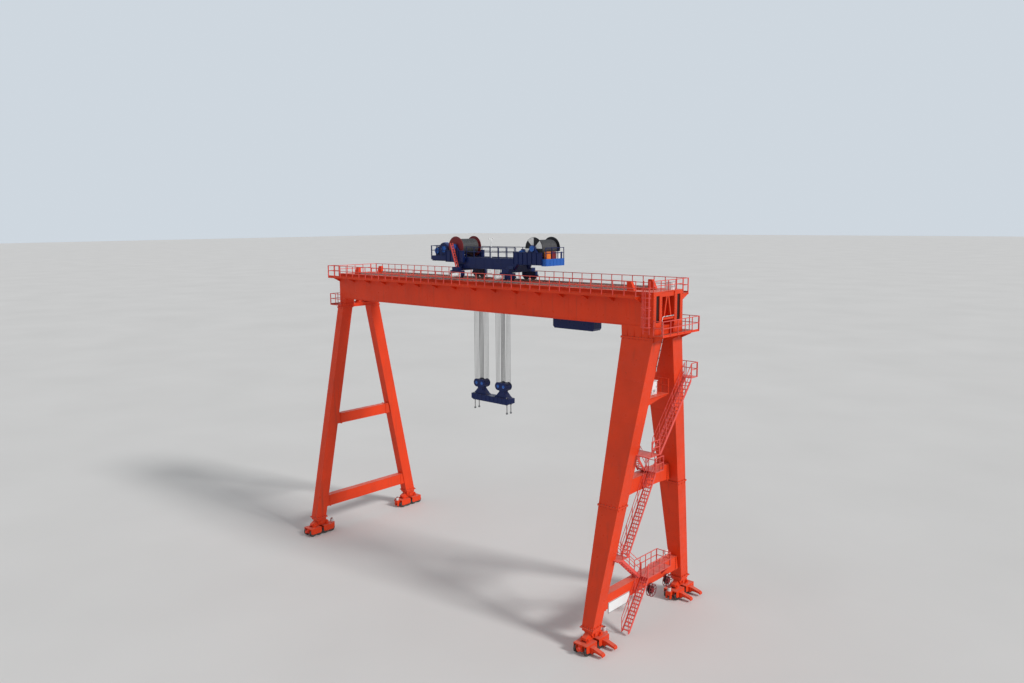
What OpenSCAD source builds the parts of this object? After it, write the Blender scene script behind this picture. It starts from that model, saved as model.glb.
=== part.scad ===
// Rail-mounted double-girder gantry crane for lifting bridge girders. All sizes are millimetres.
// X runs along the girders towards the rigid legs, Y along the ground rails, Z up.
// The origin is at ground level, in the middle of the crane.

/* [Girders] */
// Length of the two box girders
girder_len = 36900; // [34000:100:37500]
// Depth of a girder
girder_h = 2500; // [2200:50:2800]
// Width of one girder box
girder_w = 1200; // [1100:20:1300]
// Distance between the centre lines of the two girders, and gauge of the trolley
girder_gauge = 2770; // [2700:10:2840]
// Height of the underside of the girders above the ground
girder_z = 23300; // [22800:50:24000]
// Thickness of the girder's flange plates
flange_t = 40; // [25:5:60]
// How far the girder's webs stand in from the edges of its flanges
web_in = 40; // [20:5:80]
// Width of the tall slot in the end of each girder box
slot_w = 430; // [300:10:500]
// Height of that slot
slot_h = 1900; // [1500:50:2100]
// Depth of the chamber behind the slot
slot_d = 1200; // [600:50:1500]

/* [Rigid legs] */
// Half the spread of the rigid legs at their feet
rigid_foot_y = 6000; // [5600:50:6400]
// Half the spread of the rigid legs at their heads
rigid_head_y = 1290; // [1200:10:1400]
// Width of a rigid leg at the foot, along the ground rails
rigid_foot_w = 1030; // [900:10:1200]
// Width of a rigid leg at the head, along the ground rails
rigid_head_w = 1300; // [1200:10:1380]
// Thickness of a rigid leg at the foot, along the girders
rigid_foot_d = 1000; // [850:10:1150]
// Thickness of a rigid leg at the head, along the girders
rigid_head_d = 2700; // [2500:10:2900]

/* [Flexible legs] */
// Half the spread of the flexible legs at their feet
flex_foot_y = 5800; // [5500:50:6100]
// Half the spread of the flexible legs at their heads
flex_head_y = 1680; // [1600:10:1760]
// Width of a flexible leg, along the ground rails
flex_w = 1150; // [1000:10:1250]
// Thickness of a flexible leg, along the girders
flex_d = 860; // [760:10:960]

/* [Leg frames] */
// Height of the feet of all legs above the ground
foot_z = 1700; // [1650:10:1800]
// Height of the saddles between the leg heads and the girders
head_h = 850; // [750:10:950]
// Height of the bolted splice in each rigid leg
splice_z = 10400; // [9800:50:10600]
// Thickness of one bolted flange plate
plate_t = 60; // [40:5:80]
// How far a bolted flange plate stands out
plate_out = 60; // [40:5:80]
// Height of the underside of the ties between the legs
tie_z = 10800; // [10700:50:11200]
// Depth of the ties
tie_h = 1200; // [1000:50:1300]
// Width of the tie of the rigid legs, along the girders
rigid_tie_w = 900; // [850:50:1000]
// Width of the tie of the flexible legs, along the girders
flex_tie_w = 600; // [500:20:700]
// Height of the underside of the sill beams
sill_z = 2600; // [2500:50:2700]
// Depth of the sill beams
sill_h = 1100; // [1000:50:1150]
// Width of the sill beams
sill_w = 700; // [600:20:760]

/* [Ground bogies] */
// Radius of a ground wheel over its flanges
wheel_r = 345; // [300:5:360]
// Height of a ground wheel's flange over its tread
wheel_flange = 25; // [15:5:35]
// Width of a ground wheel
wheel_w = 150; // [120:5:180]
// Distance between the two ground rails of one side
rail_pair = 950; // [900:10:1050]
// Distance between the two wheels of one truck
truck_base = 720; // [710:5:760]
// Distance between the middles of the two trucks under one leg
truck_gap = 1480; // [1460:10:1540]
// Length of a drive hood on the rigid side, out from its truck
hood_len = 1050; // [800:10:1200]
// Length of a drive hood on the flexible side, out from its truck
far_hood_len = 670; // [600:10:670]
// Radius of a rubber buffer
buffer_r = 150; // [100:5:170]

/* [Walkways] */
// Width of the walkways beside the girders
walk_w = 800; // [700:10:900]
// How far the walkway decks lie under the top of the girders
walk_drop = 300; // [250:10:400]
// Height of the handrails
rail_h = 1100; // [1000:10:1150]
// Thickness of the handrail posts and bars
bar = 50; // [40:5:60]
// Greatest distance between handrail posts
post_pitch = 1000; // [800:50:1300]
// Thickness of the decks
deck_t = 60; // [40:5:80]
// How far the head platforms stand out past the ends of the girders
head_out = 850; // [840:10:1000]

/* [Stairs] */
// Clear width of a stair flight between its side plates
stair_w = 560; // [500:10:600]
// Rise from one tread to the next, about
stair_rise = 240; // [200:10:280]
// Depth of a stair's side plates, measured upright
stringer_h = 300; // [240:10:360]
// Thickness of a stair's side plates
stringer_t = 40; // [30:5:60]

/* [Trolley] */
// Place of the trolley's middle along the girders at rest
trolley_x = 950; // [0:50:2000]
// Distance between the middles of the trolley's two axle groups
trolley_base = 5950; // [5850:50:6100]
// Distance between the wheels of one trolley bogie
trolley_truck = 760; // [720:10:800]
// Radius of the tread of a trolley wheel
tw_r = 300; // [280:5:310]
// Height of the trolley rails
rail_z = 150; // [130:5:170]
// Width of the trolley rails
rail_w = 120; // [100:5:125]
// Height of the underside of the trolley's main beams over the girders
beam_up = 1030; // [1000:10:1100]
// Depth of the trolley's main beams in the middle
beam_h = 950; // [850:10:1000]
// Distance between the middles of the trolley's main beams
beam_gauge = 1700; // [1650:10:1740]
// Width of one main beam
beam_w = 300; // [250:10:320]
// Length of the trolley's frame on the left of its middle
frame_left = 6600; // [6500:50:6800]
// Length of the trolley's frame on the right of its middle
frame_right = 6550; // [6540:10:6650]

/* [Winches] */
// Place of the left drum along the trolley
left_drum_at = -3400; // [-3500:10:-3350]
// Place of the right drum along the trolley
right_drum_at = 5600; // [5550:10:5620]
// Height of the drum shafts over the main beams
drum_up = 870; // [820:10:950]
// Radius of the drum's barrel
barrel_r = 650; // [560:10:700]
// Radius of the drum's end discs
disc_r = 900; // [850:5:910]
// Radius of the drum shafts
shaft_r = 120; // [90:5:140]

/* [Hoist] */
// Place of the hoist's middle along the trolley
hook_at = -205; // [-300:5:-100]
// Distance between the two pulley blocks
block_gap = 2600; // [2500:20:2700]
// Height of the pulleys of the lower blocks at rest
block_z = 16690; // [15500:50:18000]
// Radius of a pulley at the bottom of its groove
pulley_r = 286; // [260:2:295]
// Distance between the two pulley shafts of one block
pulley_gap = 640; // [630:2:680]
// Number of pulleys on one shaft
pulley_count = 4; // [2:1:5]
// Distance between neighbouring pulleys on a shaft
pulley_pitch = 150; // [140:2:160]
// Diameter of the hoisting rope
rope_d = 28; // [22:1:32]
// Length of the spreader beam
spreader_len = 4500; // [4200:50:4800]
// Depth of the spreader beam
spreader_h = 550; // [450:10:650]
// Width of the spreader beam
spreader_w = 800; // [700:10:860]
// Length of the lifting rods below the spreader beam
rod_len = 850; // [600:10:900]
// Radius of the pin holes in the rods' eyes
eye_bore = 40; // [25:1:50]

/* [Hidden] */
$fn = 48;
gap = 0.3;
half = girder_len / 2;
girder_top = girder_z + girder_h;
girder_y = girder_gauge / 2;
out_y = girder_y + girder_w / 2;
in_y = girder_y - girder_w / 2;
web_y = out_y - web_in;
head_z = girder_z - head_h;
slot_z = girder_z + (girder_h - slot_h) / 2;

rigid_in = half - rigid_head_d;
flex_out = -half;
rigid_rail_x = rigid_in + rigid_foot_d / 2;
flex_rail_x = flex_out + flex_d / 2;
reach = rigid_foot_y + 3000;

walk_y = web_y + walk_w;
walk_z = girder_top - walk_drop;
platform_z = head_z + 250;

ladder_w = 500;
ladder_x = half - 450;
cage_r = 380;
walk_near = ladder_x - cage_r - 150;
walk_far = -half;
landing_out = 800;
strip_y = out_y + 1000;

stop_x = half - 2600;
stop_len = 350;
stop_h = 650;

tw_z = girder_top + rail_z + gap + tw_r;
beam_z = girder_top + beam_up;
beam_top = beam_z + beam_h;
beam_y = beam_gauge / 2;
beam_out = beam_y + beam_w / 2;
beam_in = beam_y - beam_w / 2;
bogie_half = trolley_truck / 2 + tw_r + 85;
bogie_top = tw_z + tw_r + 80;
drum_z = beam_top + drum_up;
cheek_y = beam_out + 150;
cheek_t = 150;
hook_x = trolley_x + hook_at;
top_pulley_z = beam_z + beam_h / 2;
rope_off = pulley_r + rope_d / 2 + gap;
rim_r = pulley_r + 32;
neck_z = block_z - 360;
spreader_top = block_z - 990;
cross_z = bogie_top + 300;
stage_out = 350;

foot_top = foot_z - plate_t;
tread_r = wheel_r - wheel_flange;
axle_r = 70;
reel_r = 520;

sill_deck_z = sill_z + sill_h + deck_t;
stair_out = stair_w / 2 + stringer_t;

// Levels and edges of the stair, from the ground to the head platform
tie_deck_z = tie_z + tie_h + deck_t;
land_1_z = 6500;
land_3_z = tie_deck_z + 2040;
land_4_z = head_z - 3350;
cab_z = head_z - 4350;
cab_y1 = 900;
panel_t = 50;
x_low = rigid_rail_x + sill_w / 2 + panel_t + 20 + stair_out;
x_mid = rigid_in + 200 + rigid_tie_w + plate_out + stair_out + 20;
x_back = rigid_rail_x + 100;
x_high = rigid_out(land_4_z) + plate_out + stair_out + 20;
x_up = x_mid + 100;
sill_deck_y0 = -300;
sill_deck_y1 = 2900;
land_1_y = -3450;
tie_deck_y0 = 100;
land_3_y = -1500;
land_4_y = rigid_outer_y(land_4_z) + 20;
foot_gap = 250;

paint = "orangered";
stair_paint = "tomato";
navy = "midnightblue";
steel = "dimgray";

// A box from one corner to the other
module box(x0, x1, y0, y1, z0, z1) {
    translate([x0, y0, z0]) cube([x1 - x0, y1 - y0, z1 - z0]);
}

// A profile given as [y, z] points, drawn out along X
module prism_x(points, x0, x1) {
    translate([x0, 0, 0]) rotate([90, 0, 90]) linear_extrude(x1 - x0) polygon(points);
}

// A profile given as [x, z] points, drawn out along Y
module prism_y(points, y0, y1) {
    translate([0, y1, 0]) rotate([90, 0, 0]) linear_extrude(y1 - y0) polygon(points);
}

module cyl_x(x0, x1, y, z, r) {
    translate([x0, y, z]) rotate([0, 90, 0]) cylinder(h = x1 - x0, r = r);
}

module cyl_y(x, y0, y1, z, r) {
    translate([x, y1, z]) rotate([90, 0, 0]) cylinder(h = y1 - y0, r = r);
}

// The same piece on both sides of the plane y = 0
module both_sides() {
    children();
    mirror([0, 1, 0]) children();
}

// Places of the posts between a and b
function posts(a, b) = let (n = max(1, ceil((b - a - bar) / post_pitch)))
    [for (i = [0:n]) a + bar / 2 + (b - a - bar) * i / n];

// A straight handrail along X, standing on z
module railing_x(x0, x1, y, z, h = rail_h) {
    for (x = posts(x0, x1)) box(x - bar / 2, x + bar / 2, y - bar / 2, y + bar / 2, z, z + h);
    for (level = [h - bar, h / 2]) box(x0, x1, y - bar / 2, y + bar / 2, z + level, z + level + bar);
}

// A straight handrail along Y, standing on z
module railing_y(x, y0, y1, z, h = rail_h) {
    for (y = posts(y0, y1)) box(x - bar / 2, x + bar / 2, y - bar / 2, y + bar / 2, z, z + h);
    for (level = [h - bar, h / 2]) box(x - bar / 2, x + bar / 2, y0, y1, z + level, z + level + bar);
}

// Outline of a rigid leg at height z: middle and width along Y, outer face along X
function rigid_part(z) = (z - foot_z) / (head_z - foot_z);
function rigid_mid(z) = rigid_foot_y + (rigid_head_y - rigid_foot_y) * rigid_part(z);
function rigid_wide(z) = rigid_foot_w + (rigid_head_w - rigid_foot_w) * rigid_part(z);
function rigid_out(z) = rigid_in + rigid_foot_d + (rigid_head_d - rigid_foot_d) * rigid_part(z);
function rigid_inner_y(z) = rigid_mid(z) - rigid_wide(z) / 2;
function rigid_outer_y(z) = rigid_mid(z) + rigid_wide(z) / 2;
function flex_mid(z) = flex_foot_y + (flex_head_y - flex_foot_y) * rigid_part(z);

// The slanting box of the rigid leg on the +Y side, between two heights, grown all round
module rigid_box(z0, z1, grow = 0) {
    intersection() {
        prism_x([[rigid_inner_y(z0) - grow, z0], [rigid_outer_y(z0) + grow, z0],
            [rigid_outer_y(z1) + grow, z1], [rigid_inner_y(z1) - grow, z1]], rigid_in - grow, half + grow + 1);
        prism_y([[rigid_in - grow, z0], [rigid_out(z0) + grow, z0],
            [rigid_out(z1) + grow, z1], [rigid_in - grow, z1]], 0, reach);
    }
}

// The slanting box of the flexible leg on the +Y side, between two heights, grown all round
module flex_box(z0, z1, grow = 0) {
    side = flex_w / 2 + grow;
    prism_x([[flex_mid(z0) - side, z0], [flex_mid(z0) + side, z0],
        [flex_mid(z1) + side, z1], [flex_mid(z1) - side, z1]], flex_out - grow, flex_out + flex_d + grow);
}

module girder() {
    w = girder_w / 2;
    i = w - web_in;
    h = girder_h;
    t = flange_t;
    difference() {
        translate([0, 0, girder_z]) prism_x([[-w, 0], [w, 0], [w, t], [i, t], [i, h - t], [w, h - t], [w, h],
            [-w, h], [-w, h - t], [-i, h - t], [-i, t], [-w, t]], -half, half);
        for (x = [-half - 1, half - slot_d]) box(x, x + slot_d + 1, -slot_w / 2, slot_w / 2, slot_z, slot_z + slot_h);
    }
}

module front_girder() {
    color(paint) translate([0, -girder_y, 0]) girder();
}

module back_girder() {
    color(paint) translate([0, girder_y, 0]) girder();
}

// Cross members between the girders at one end, with the A-shaped brace in the outer face
module end_frame() {
    wy = in_y + web_in;
    bar_w = 140;
    foot = 520;
    apex = 190;
    low = girder_z + 600;
    high = girder_top - 400;
    face = half - 60;
    box(half - 1250, half, -in_y, in_y, girder_top - flange_t, girder_top);
    box(face - 250, face, -wy, wy, high, girder_top - flange_t);
    box(face - 200, face, -wy, wy, low - 160, low);
    both_sides() prism_x([[apex - bar_w, high], [apex, high], [foot, low], [foot - bar_w, low]], face - 160, face);
    box(half - 1250, half - 1050, -wy, wy, girder_z + 100, girder_top - flange_t);
    box(half - 1250, face - 250, -40, 40, girder_top - 200, girder_top - flange_t);
}

module near_end_frame() {
    color(paint) end_frame();
}

module far_end_frame() {
    color(paint) mirror([1, 0, 0]) end_frame();
}

// Trolley rails with a head, a web and a foot
module trolley_rails() {
    h = rail_w / 2;
    f = 85;
    w = 25;
    color(steel) both_sides() translate([0, girder_y, girder_top])
        prism_x([[-f, 0], [f, 0], [f, 20], [w, 35], [w, rail_z - 55], [h, rail_z - 45], [h, rail_z],
            [-h, rail_z], [-h, rail_z - 45], [-w, rail_z - 55], [-w, 35], [-f, 20]], -stop_x, stop_x);
}

module rail_end_stops() {
    color(paint) both_sides() for (m = [0, 1]) mirror([m, 0, 0]) {
        prism_y([[stop_x, girder_top], [stop_x + stop_len + 300, girder_top], [stop_x + stop_len, girder_top + stop_h],
            [stop_x, girder_top + stop_h]], girder_y - 140, girder_y + 140);
    }
}

// Deck of a side walkway on the +Y side, with its brackets on the girder's web
module walkway(x0, x1, out) {
    n = ceil((x1 - x0) / 2400);
    box(x0 - out, x1, web_y, walk_y, walk_z - deck_t, walk_z);
    box(x0 - out, x1, walk_y - 40, walk_y, walk_z - 140, walk_z - deck_t);
    for (i = [0:n]) let (x = x0 + 60 + (x1 - x0 - 120) * i / n)
        prism_x([[web_y, walk_z - deck_t], [walk_y - 40, walk_z - deck_t], [walk_y - 40, walk_z - 140],
            [web_y, walk_z - 520]], x - 15, x + 15);
}

module front_walkway() {
    color(paint) mirror([0, 1, 0]) walkway(walk_far, walk_near, landing_out);
}

module back_walkway() {
    color(paint) walkway(walk_far, half, 0);
}

module front_railing() {
    color(paint) railing_x(walk_far - landing_out, walk_near, -walk_y + bar / 2, walk_z);
}

module back_railing() {
    color(paint) railing_x(walk_far, half, walk_y - bar / 2, walk_z);
}

// Handrails across the ends of the girders
module end_railings() {
    edge = half - bar / 2;
    inside = walk_y - bar - gap;
    color(paint) {
        railing_y(edge, -out_y, out_y, girder_top, rail_h - walk_drop);
        railing_y(edge, out_y + 5, inside, walk_z);
        railing_y(-edge, -out_y, out_y, girder_top, rail_h - walk_drop);
        railing_y(-edge, out_y + 5, inside, walk_z);
        railing_y(-edge - landing_out, -inside, -web_y, walk_z);
        railing_x(-half - landing_out + bar + gap, -half - 5, -web_y - bar / 2, walk_z);
    }
}

// Platform at the head of the rigid legs: a strip past the end and one on the +Y side
module near_head_platform() {
    top = platform_z;
    y1 = strip_y;
    color(paint) difference() {
        union() {
            box(half, half + head_out, -out_y, y1, top - deck_t, top);
            box(rigid_in + 200, half, out_y - 200, y1, top - deck_t, top);
            for (y = [-out_y + 100, -400, 400, out_y - 100])
                prism_y([[half, top - 500], [half + head_out - 60, top - deck_t - 60],
                    [half + head_out - 60, top - deck_t], [half, top - deck_t]], y - 20, y + 20);
            for (x = [rigid_in + 400, half - 300]) prism_x([[out_y - 200, top - 560], [y1 - 60, top - deck_t - 60],
                [y1 - 60, top - deck_t], [out_y - 200, top - deck_t]], x - 20, x + 20);
        }
        rigid_leg_saddle();
        both_sides() rigid_leg();
    }
}

// Platform at the head of the flexible legs: a strip past the end and one on the -Y side
module far_head_platform() {
    top = platform_z;
    edge = -half - head_out;
    y1 = flex_head_y + flex_w / 2 + 300;
    color(paint) difference() {
        union() {
            box(edge, flex_out + 100, -y1, out_y, top - deck_t, top);
            box(flex_out, flex_out + flex_d, -y1, -flex_head_y, top - deck_t, top);
            for (y = [-out_y + 200, out_y - 200]) prism_y([[flex_out + 100, top - 400], [edge + 60, top - deck_t - 60],
                [edge + 60, top - deck_t], [flex_out + 100, top - deck_t]], y - 20, y + 20);
        }
        flexible_leg_saddle();
        both_sides() flexible_leg();
    }
}

module head_railings() {
    top = platform_z;
    b = bar / 2;
    near = half + head_out - b;
    near_y = strip_y - b;
    far_y = -flex_head_y - flex_w / 2 - 300 + b;
    color(paint) {
        railing_y(near, -out_y, near_y + b, top);
        railing_x(rigid_in + 200, x_up - 300, near_y, top);
        railing_x(x_up + 300, near - b - gap, near_y, top);
        railing_x(half + 5, near - b - gap, -out_y + b, top);
        railing_y(-near, far_y - b, out_y, top);
        railing_x(-near + b + gap, flex_out + flex_d, far_y, top);
    }
}

// One hoop of a ladder's cage: a half ring with a straight lug to each stile
module hoop() {
    linear_extrude(50) {
        difference() {
            circle(r = cage_r);
            circle(r = cage_r - 15);
            translate([-cage_r, 0]) square([2 * cage_r, cage_r]);
        }
        for (x = [-cage_r, ladder_w / 2]) translate([x, -15]) square([cage_r - ladder_w / 2, 15]);
    }
}

// Upright ladder on the front girder's web, with a cage of hoops and straps round it
module caged_ladder() {
    z0 = platform_z + 100;
    z1 = walk_z + rail_h;
    back = -web_y - 220;
    top = girder_top - flange_t - 60;
    hoops = [z0 + 500:700:z1 - 60];
    cage_z0 = z0 + 500;
    cage_z1 = cage_z0 + 700 * floor((z1 - 60 - cage_z0) / 700) + 50;
    color(stair_paint) {
        for (s = [-1, 1]) {
            x = ladder_x + s * ladder_w / 2;
            box(x - 25, x + 25, back - 30, back + 30, z0, z1);
            for (z = [girder_z + 150, (girder_z + top) / 2, top - 60]) box(x - 25, x + 25, back, -web_y, z, z + 60);
        }
        for (z = [z0 + 200:300:z1 - 100]) cyl_x(ladder_x - ladder_w / 2, ladder_x + ladder_w / 2, back, z, 16);
        for (z = hoops) translate([ladder_x, back, z]) hoop();
        for (a = [210, 250, 290, 330]) translate([ladder_x, back, cage_z0]) rotate(a)
            translate([cage_r - 25, -20, 0]) cube([16, 40, cage_z1 - cage_z0]);
    }
}

// Saddle between a rigid leg's head and a girder, with a cross beam between the two
module rigid_leg_saddle() {
    low_in = rigid_head_y - rigid_head_w / 2;
    low_out = rigid_head_y + rigid_head_w / 2;
    p = plate_out;
    color(paint) {
        both_sides() {
            prism_x([[low_in, head_z], [low_out, head_z], [out_y, girder_z], [in_y, girder_z]], rigid_in, half);
            box(rigid_in - p, half + p, low_in - p, low_out + p, head_z, head_z + plate_t);
            for (x = [rigid_in + 500:600:half - 300]) prism_x([[low_out - 5, head_z + plate_t],
                [low_out + p, head_z + plate_t], [out_y - 5, girder_z - 60]], x - 15, x + 15);
        }
        box(rigid_in + 250, half - 350, -in_y, in_y, head_z + 150, girder_z - 60);
    }
}

module rigid_leg() {
    rigid_box(foot_z, head_z);
    rigid_box(foot_z, foot_z + plate_t, plate_out);
    rigid_box(head_z - plate_t, head_z, plate_out);
    rigid_box(splice_z - plate_t, splice_z + plate_t, plate_out);
}

module rigid_leg_right() {
    color(paint) rigid_leg();
}

module rigid_leg_left() {
    color(paint) mirror([0, 1, 0]) rigid_leg();
}

// Tie with haunched ends and bolted end plates, cut to the slant of the legs
module rigid_leg_tie() {
    x0 = rigid_in + 200;
    mid = 1500;
    end = rigid_inner_y(tie_z);
    color(paint) difference() {
        union() {
            prism_x([[-end - 300, tie_z - 100], [-mid, tie_z], [mid, tie_z], [end + 300, tie_z - 100],
                [end + 300, tie_z + tie_h], [mid, tie_z + tie_h - 120], [-mid, tie_z + tie_h - 120],
                [-end - 300, tie_z + tie_h]], x0, x0 + rigid_tie_w);
            both_sides() box(x0 - plate_out, x0 + rigid_tie_w + plate_out, end - 560, end - 560 + 2 * plate_t,
                tie_z - 100 - plate_out, tie_z + tie_h);
        }
        both_sides() rigid_leg();
    }
}

module rigid_leg_sill() {
    x0 = rigid_rail_x - sill_w / 2;
    end = rigid_inner_y(sill_z) + 300;
    color(paint) difference() {
        union() {
            box(x0, x0 + sill_w, -end, end, sill_z, sill_z + sill_h);
            both_sides() box(x0 - 40, x0 + sill_w + 40, end - 800, end - 800 + 2 * plate_t, sill_z - 40, sill_z + sill_h);
        }
        both_sides() rigid_leg();
    }
}

module flexible_leg() {
    flex_box(foot_z, head_z);
    flex_box(foot_z, foot_z + plate_t, plate_out);
    flex_box(head_z - plate_t, head_z, plate_out);
}

module flexible_leg_right() {
    color(paint) flexible_leg();
}

module flexible_leg_left() {
    color(paint) mirror([0, 1, 0]) flexible_leg();
}

// Cross head of the flexible legs with a domed hinge in the middle and a bearing under each girder
module flexible_leg_saddle() {
    x0 = flex_out;
    x1 = flex_out + flex_d;
    mid = (x0 + x1) / 2;
    end = flex_head_y + flex_w / 2;
    color(paint) {
        box(x0, x1, -end, end, head_z, head_z + 330);
        box(x0 - plate_out, x1 + plate_out, -end - plate_out, end + plate_out, head_z, head_z + plate_t);
        both_sides() {
            box(x0 + 60, x1 - 60, in_y + 60, out_y - 60, head_z + 330, girder_z - 150);
            cyl_x(x0 + 60, x1 - 60, girder_y, girder_z - 200, 170);
            box(x0, x1, in_y, out_y, girder_z - 150, girder_z);
        }
        translate([mid, 0, head_z + 330]) rotate_extrude() intersection() {
            circle(r = 380);
            square([380, 380]);
        }
        translate([mid, 0, head_z + 330]) cylinder(h = 60, r = 440);
    }
}

module flexible_leg_tie() {
    x0 = flex_rail_x - flex_tie_w / 2;
    end = flex_mid(tie_z) - flex_w / 2 + 300;
    color(paint) difference() {
        union() {
            box(x0, x0 + flex_tie_w, -end, end, tie_z, tie_z + tie_h - 200);
            both_sides() box(x0 - 50, x0 + flex_tie_w + 50, end - 900, end - 900 + 2 * plate_t, tie_z - 50,
                tie_z + tie_h - 150);
        }
        both_sides() flexible_leg();
    }
}

module flexible_leg_sill() {
    x0 = flex_rail_x - sill_w / 2;
    end = flex_mid(sill_z) - flex_w / 2 + 300;
    color(paint) difference() {
        union() {
            box(x0, x0 + sill_w, -end, end, sill_z, sill_z + sill_h);
            both_sides() box(x0 - 40, x0 + sill_w + 40, end - 800, end - 800 + 2 * plate_t, sill_z - 40, sill_z + sill_h);
        }
        both_sides() flexible_leg();
    }
}

// Truck of two wheels on each of the two rails, with its middle at y
module truck(y) {
    long = truck_base / 2 + 250;
    inner = wheel_w / 2 + 15;
    low = wheel_r - 110;
    high = 2 * wheel_r + 20;
    difference() {
        union() {
            for (x = [-rail_pair / 2, rail_pair / 2]) {
                for (s = [-1, 1]) prism_y_at(x + s * (inner + 20), 20, [[-long + 120, low], [long - 120, low],
                    [long, wheel_r], [long, high], [-long, high], [-long, wheel_r]], y);
            }
            box(-rail_pair / 2 - inner - 40, rail_pair / 2 + inner + 40, y - long, y + long, high, high + 90);
            box(-rail_pair / 2 + inner + 40, rail_pair / 2 - inner - 40, y - 160, y + 160, wheel_r, high);
        }
        for (s = [-1, 1]) cyl_x(-reach / 2, reach / 2, y + s * truck_base / 2, wheel_r, axle_r + gap);
    }
    for (s = [-1, 1]) prism_x([[y - 220, high + 90], [y + 220, high + 90], [y + 110, high + 290],
        [y - 110, high + 290]], s * 260 - 60, s * 260 + 60);
}

// A side plate of a truck: a [y, z] profile about y, half_t thick each way from x
module prism_y_at(x, half_t, points, y) {
    translate([0, y, 0]) prism_x(points, x - half_t, x + half_t);
}

// The whole set under one leg: saddle, equalizing beam, two trucks, a buffer at the outer end
// and a rail clamp with its motor at the inner end
module bogie(outer) {
    high = 2 * wheel_r + 20;
    eq_low = high + 230;
    eq_top = foot_top - 220;
    end = truck_gap / 2 + 200;
    for (s = [-1, 1]) truck(s * truck_gap / 2);
    prism_x([[-end, eq_low], [-end, eq_low + 190], [-420, eq_top], [420, eq_top], [end, eq_low + 190],
        [end, eq_low], [420, eq_low - 100], [-420, eq_low - 100]], -200, 200);
    for (s = [-1, 1]) cyl_x(-340, 340, s * truck_gap / 2, eq_low + 60, 80);
    box(-480, 480, -520, 520, eq_top, foot_top);
    for (s = [-1, 1]) prism_x([[-520, eq_top + 5], [520, eq_top + 5], [200, eq_low + 60], [-200, eq_low + 60]],
        s * 260 - 55, s * 260 + 55);
    cyl_x(-400, 400, 0, (eq_low + eq_top) / 2, 110);
    box(-600, 600, -640, 640, foot_top, foot_z);
    arm = truck_gap / 2 + truck_base / 2 + 250;
    mirror([0, outer < 0 ? 1 : 0, 0]) {
        box(-200, 200, arm - 300, arm, wheel_r - 60, high + 40);
        cyl_y(0, arm, arm + 250, wheel_r + 160, buffer_r * 0.6);
        cyl_y(0, arm + 150, arm + 250, wheel_r + 160, buffer_r);
        box(-230, 230, -arm - 330, -arm + 300, wheel_r + 90, high + 40);
        for (x = [-230, 130]) box(x, x + 100, -arm - 330, -arm - 130, 160, wheel_r + 90);
        translate([0, -arm - 150, high + 40]) cylinder(h = 330, r = 140);
        translate([0, -arm - 150, high + 370]) cylinder(h = 50, r = 100);
    }
}

module near_left_bogie() {
    color(paint) translate([rigid_rail_x, -rigid_foot_y, 0]) bogie(-1);
}

module near_right_bogie() {
    color(paint) translate([rigid_rail_x, rigid_foot_y, 0]) bogie(1);
}

module far_left_bogie() {
    color(paint) translate([flex_rail_x, -flex_foot_y, 0]) bogie(-1);
}

module far_right_bogie() {
    color(paint) translate([flex_rail_x, flex_foot_y, 0]) bogie(1);
}

// A double-flanged wheel on its axle, standing at x and y on the ground
module ground_wheel(x, y, axle) {
    w = wheel_w / 2;
    translate([x, y, wheel_r]) rotate([0, 90, 0]) rotate_extrude() polygon([[0, -axle], [axle_r, -axle],
        [axle_r, -w], [wheel_r - 20, -w], [wheel_r, -w + 12], [wheel_r, -w + 25], [tread_r, -w + 32],
        [tread_r, w - 32], [wheel_r, w - 25], [wheel_r, w - 12], [wheel_r - 20, w], [axle_r, w],
        [axle_r, axle], [0, axle]]);
}

module wheel_sets(rail_x, foot_y) {
    for (s = [-1, 1], t = [-1, 1], u = [-1, 1], x = [-rail_pair / 2, rail_pair / 2])
        ground_wheel(rail_x + x, s * foot_y + t * truck_gap / 2 + u * truck_base / 2, wheel_w / 2 + 55);
}

module near_wheels() {
    color(steel) wheel_sets(rigid_rail_x, rigid_foot_y);
}

module far_wheels() {
    color(steel) wheel_sets(flex_rail_x, flex_foot_y);
}

// Gearbox and slanting motor hood on the outside of one truck
module drive(y, len) {
    x0 = rail_pair / 2 + wheel_w / 2 + 55 + gap;
    z = wheel_r + 40;
    box(x0, x0 + 220, y - 230, y + 230, z - 190, z + 250);
    difference() {
        prism_y([[x0 + 220, z - 90], [x0 + len, z - 190], [x0 + len, z - 60], [x0 + len - 90, z + 40],
            [x0 + 220, z + 230]], y - 180, y + 180);
        prism_y([[x0 + 280, z - 100], [x0 + len - 60, z - 190], [x0 + len - 60, z - 130],
            [x0 + 280, z - 20]], y - 182, y + 182);
    }
    cyl_x(x0 + 220, x0 + len - 60, y, z - 30, 110);
}

module near_drives() {
    color(paint) for (s = [-1, 1], t = [-1, 1])
        translate([rigid_rail_x, s * rigid_foot_y, 0]) drive(t * truck_gap / 2, hood_len);
}

module far_drives() {
    color(paint) for (s = [-1, 1], t = [-1, 1])
        translate([flex_rail_x, s * flex_foot_y, 0]) mirror([1, 0, 0]) drive(t * truck_gap / 2, far_hood_len);
}

// One flight: middle along X, then y and z at the foot, y and z at the head
FLIGHTS = [
    [x_low, sill_deck_y0 - (sill_deck_z - foot_gap) / 1.37, foot_gap, sill_deck_y0, sill_deck_z],
    [x_back, sill_deck_y0, sill_deck_z, land_1_y, land_1_z],
    [x_mid, land_1_y, land_1_z, tie_deck_y0, tie_deck_z],
    [x_back, tie_deck_y0, tie_deck_z, land_3_y, land_3_z],
    [x_high, land_3_y, land_3_z, land_4_y, land_4_z]
];

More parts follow.
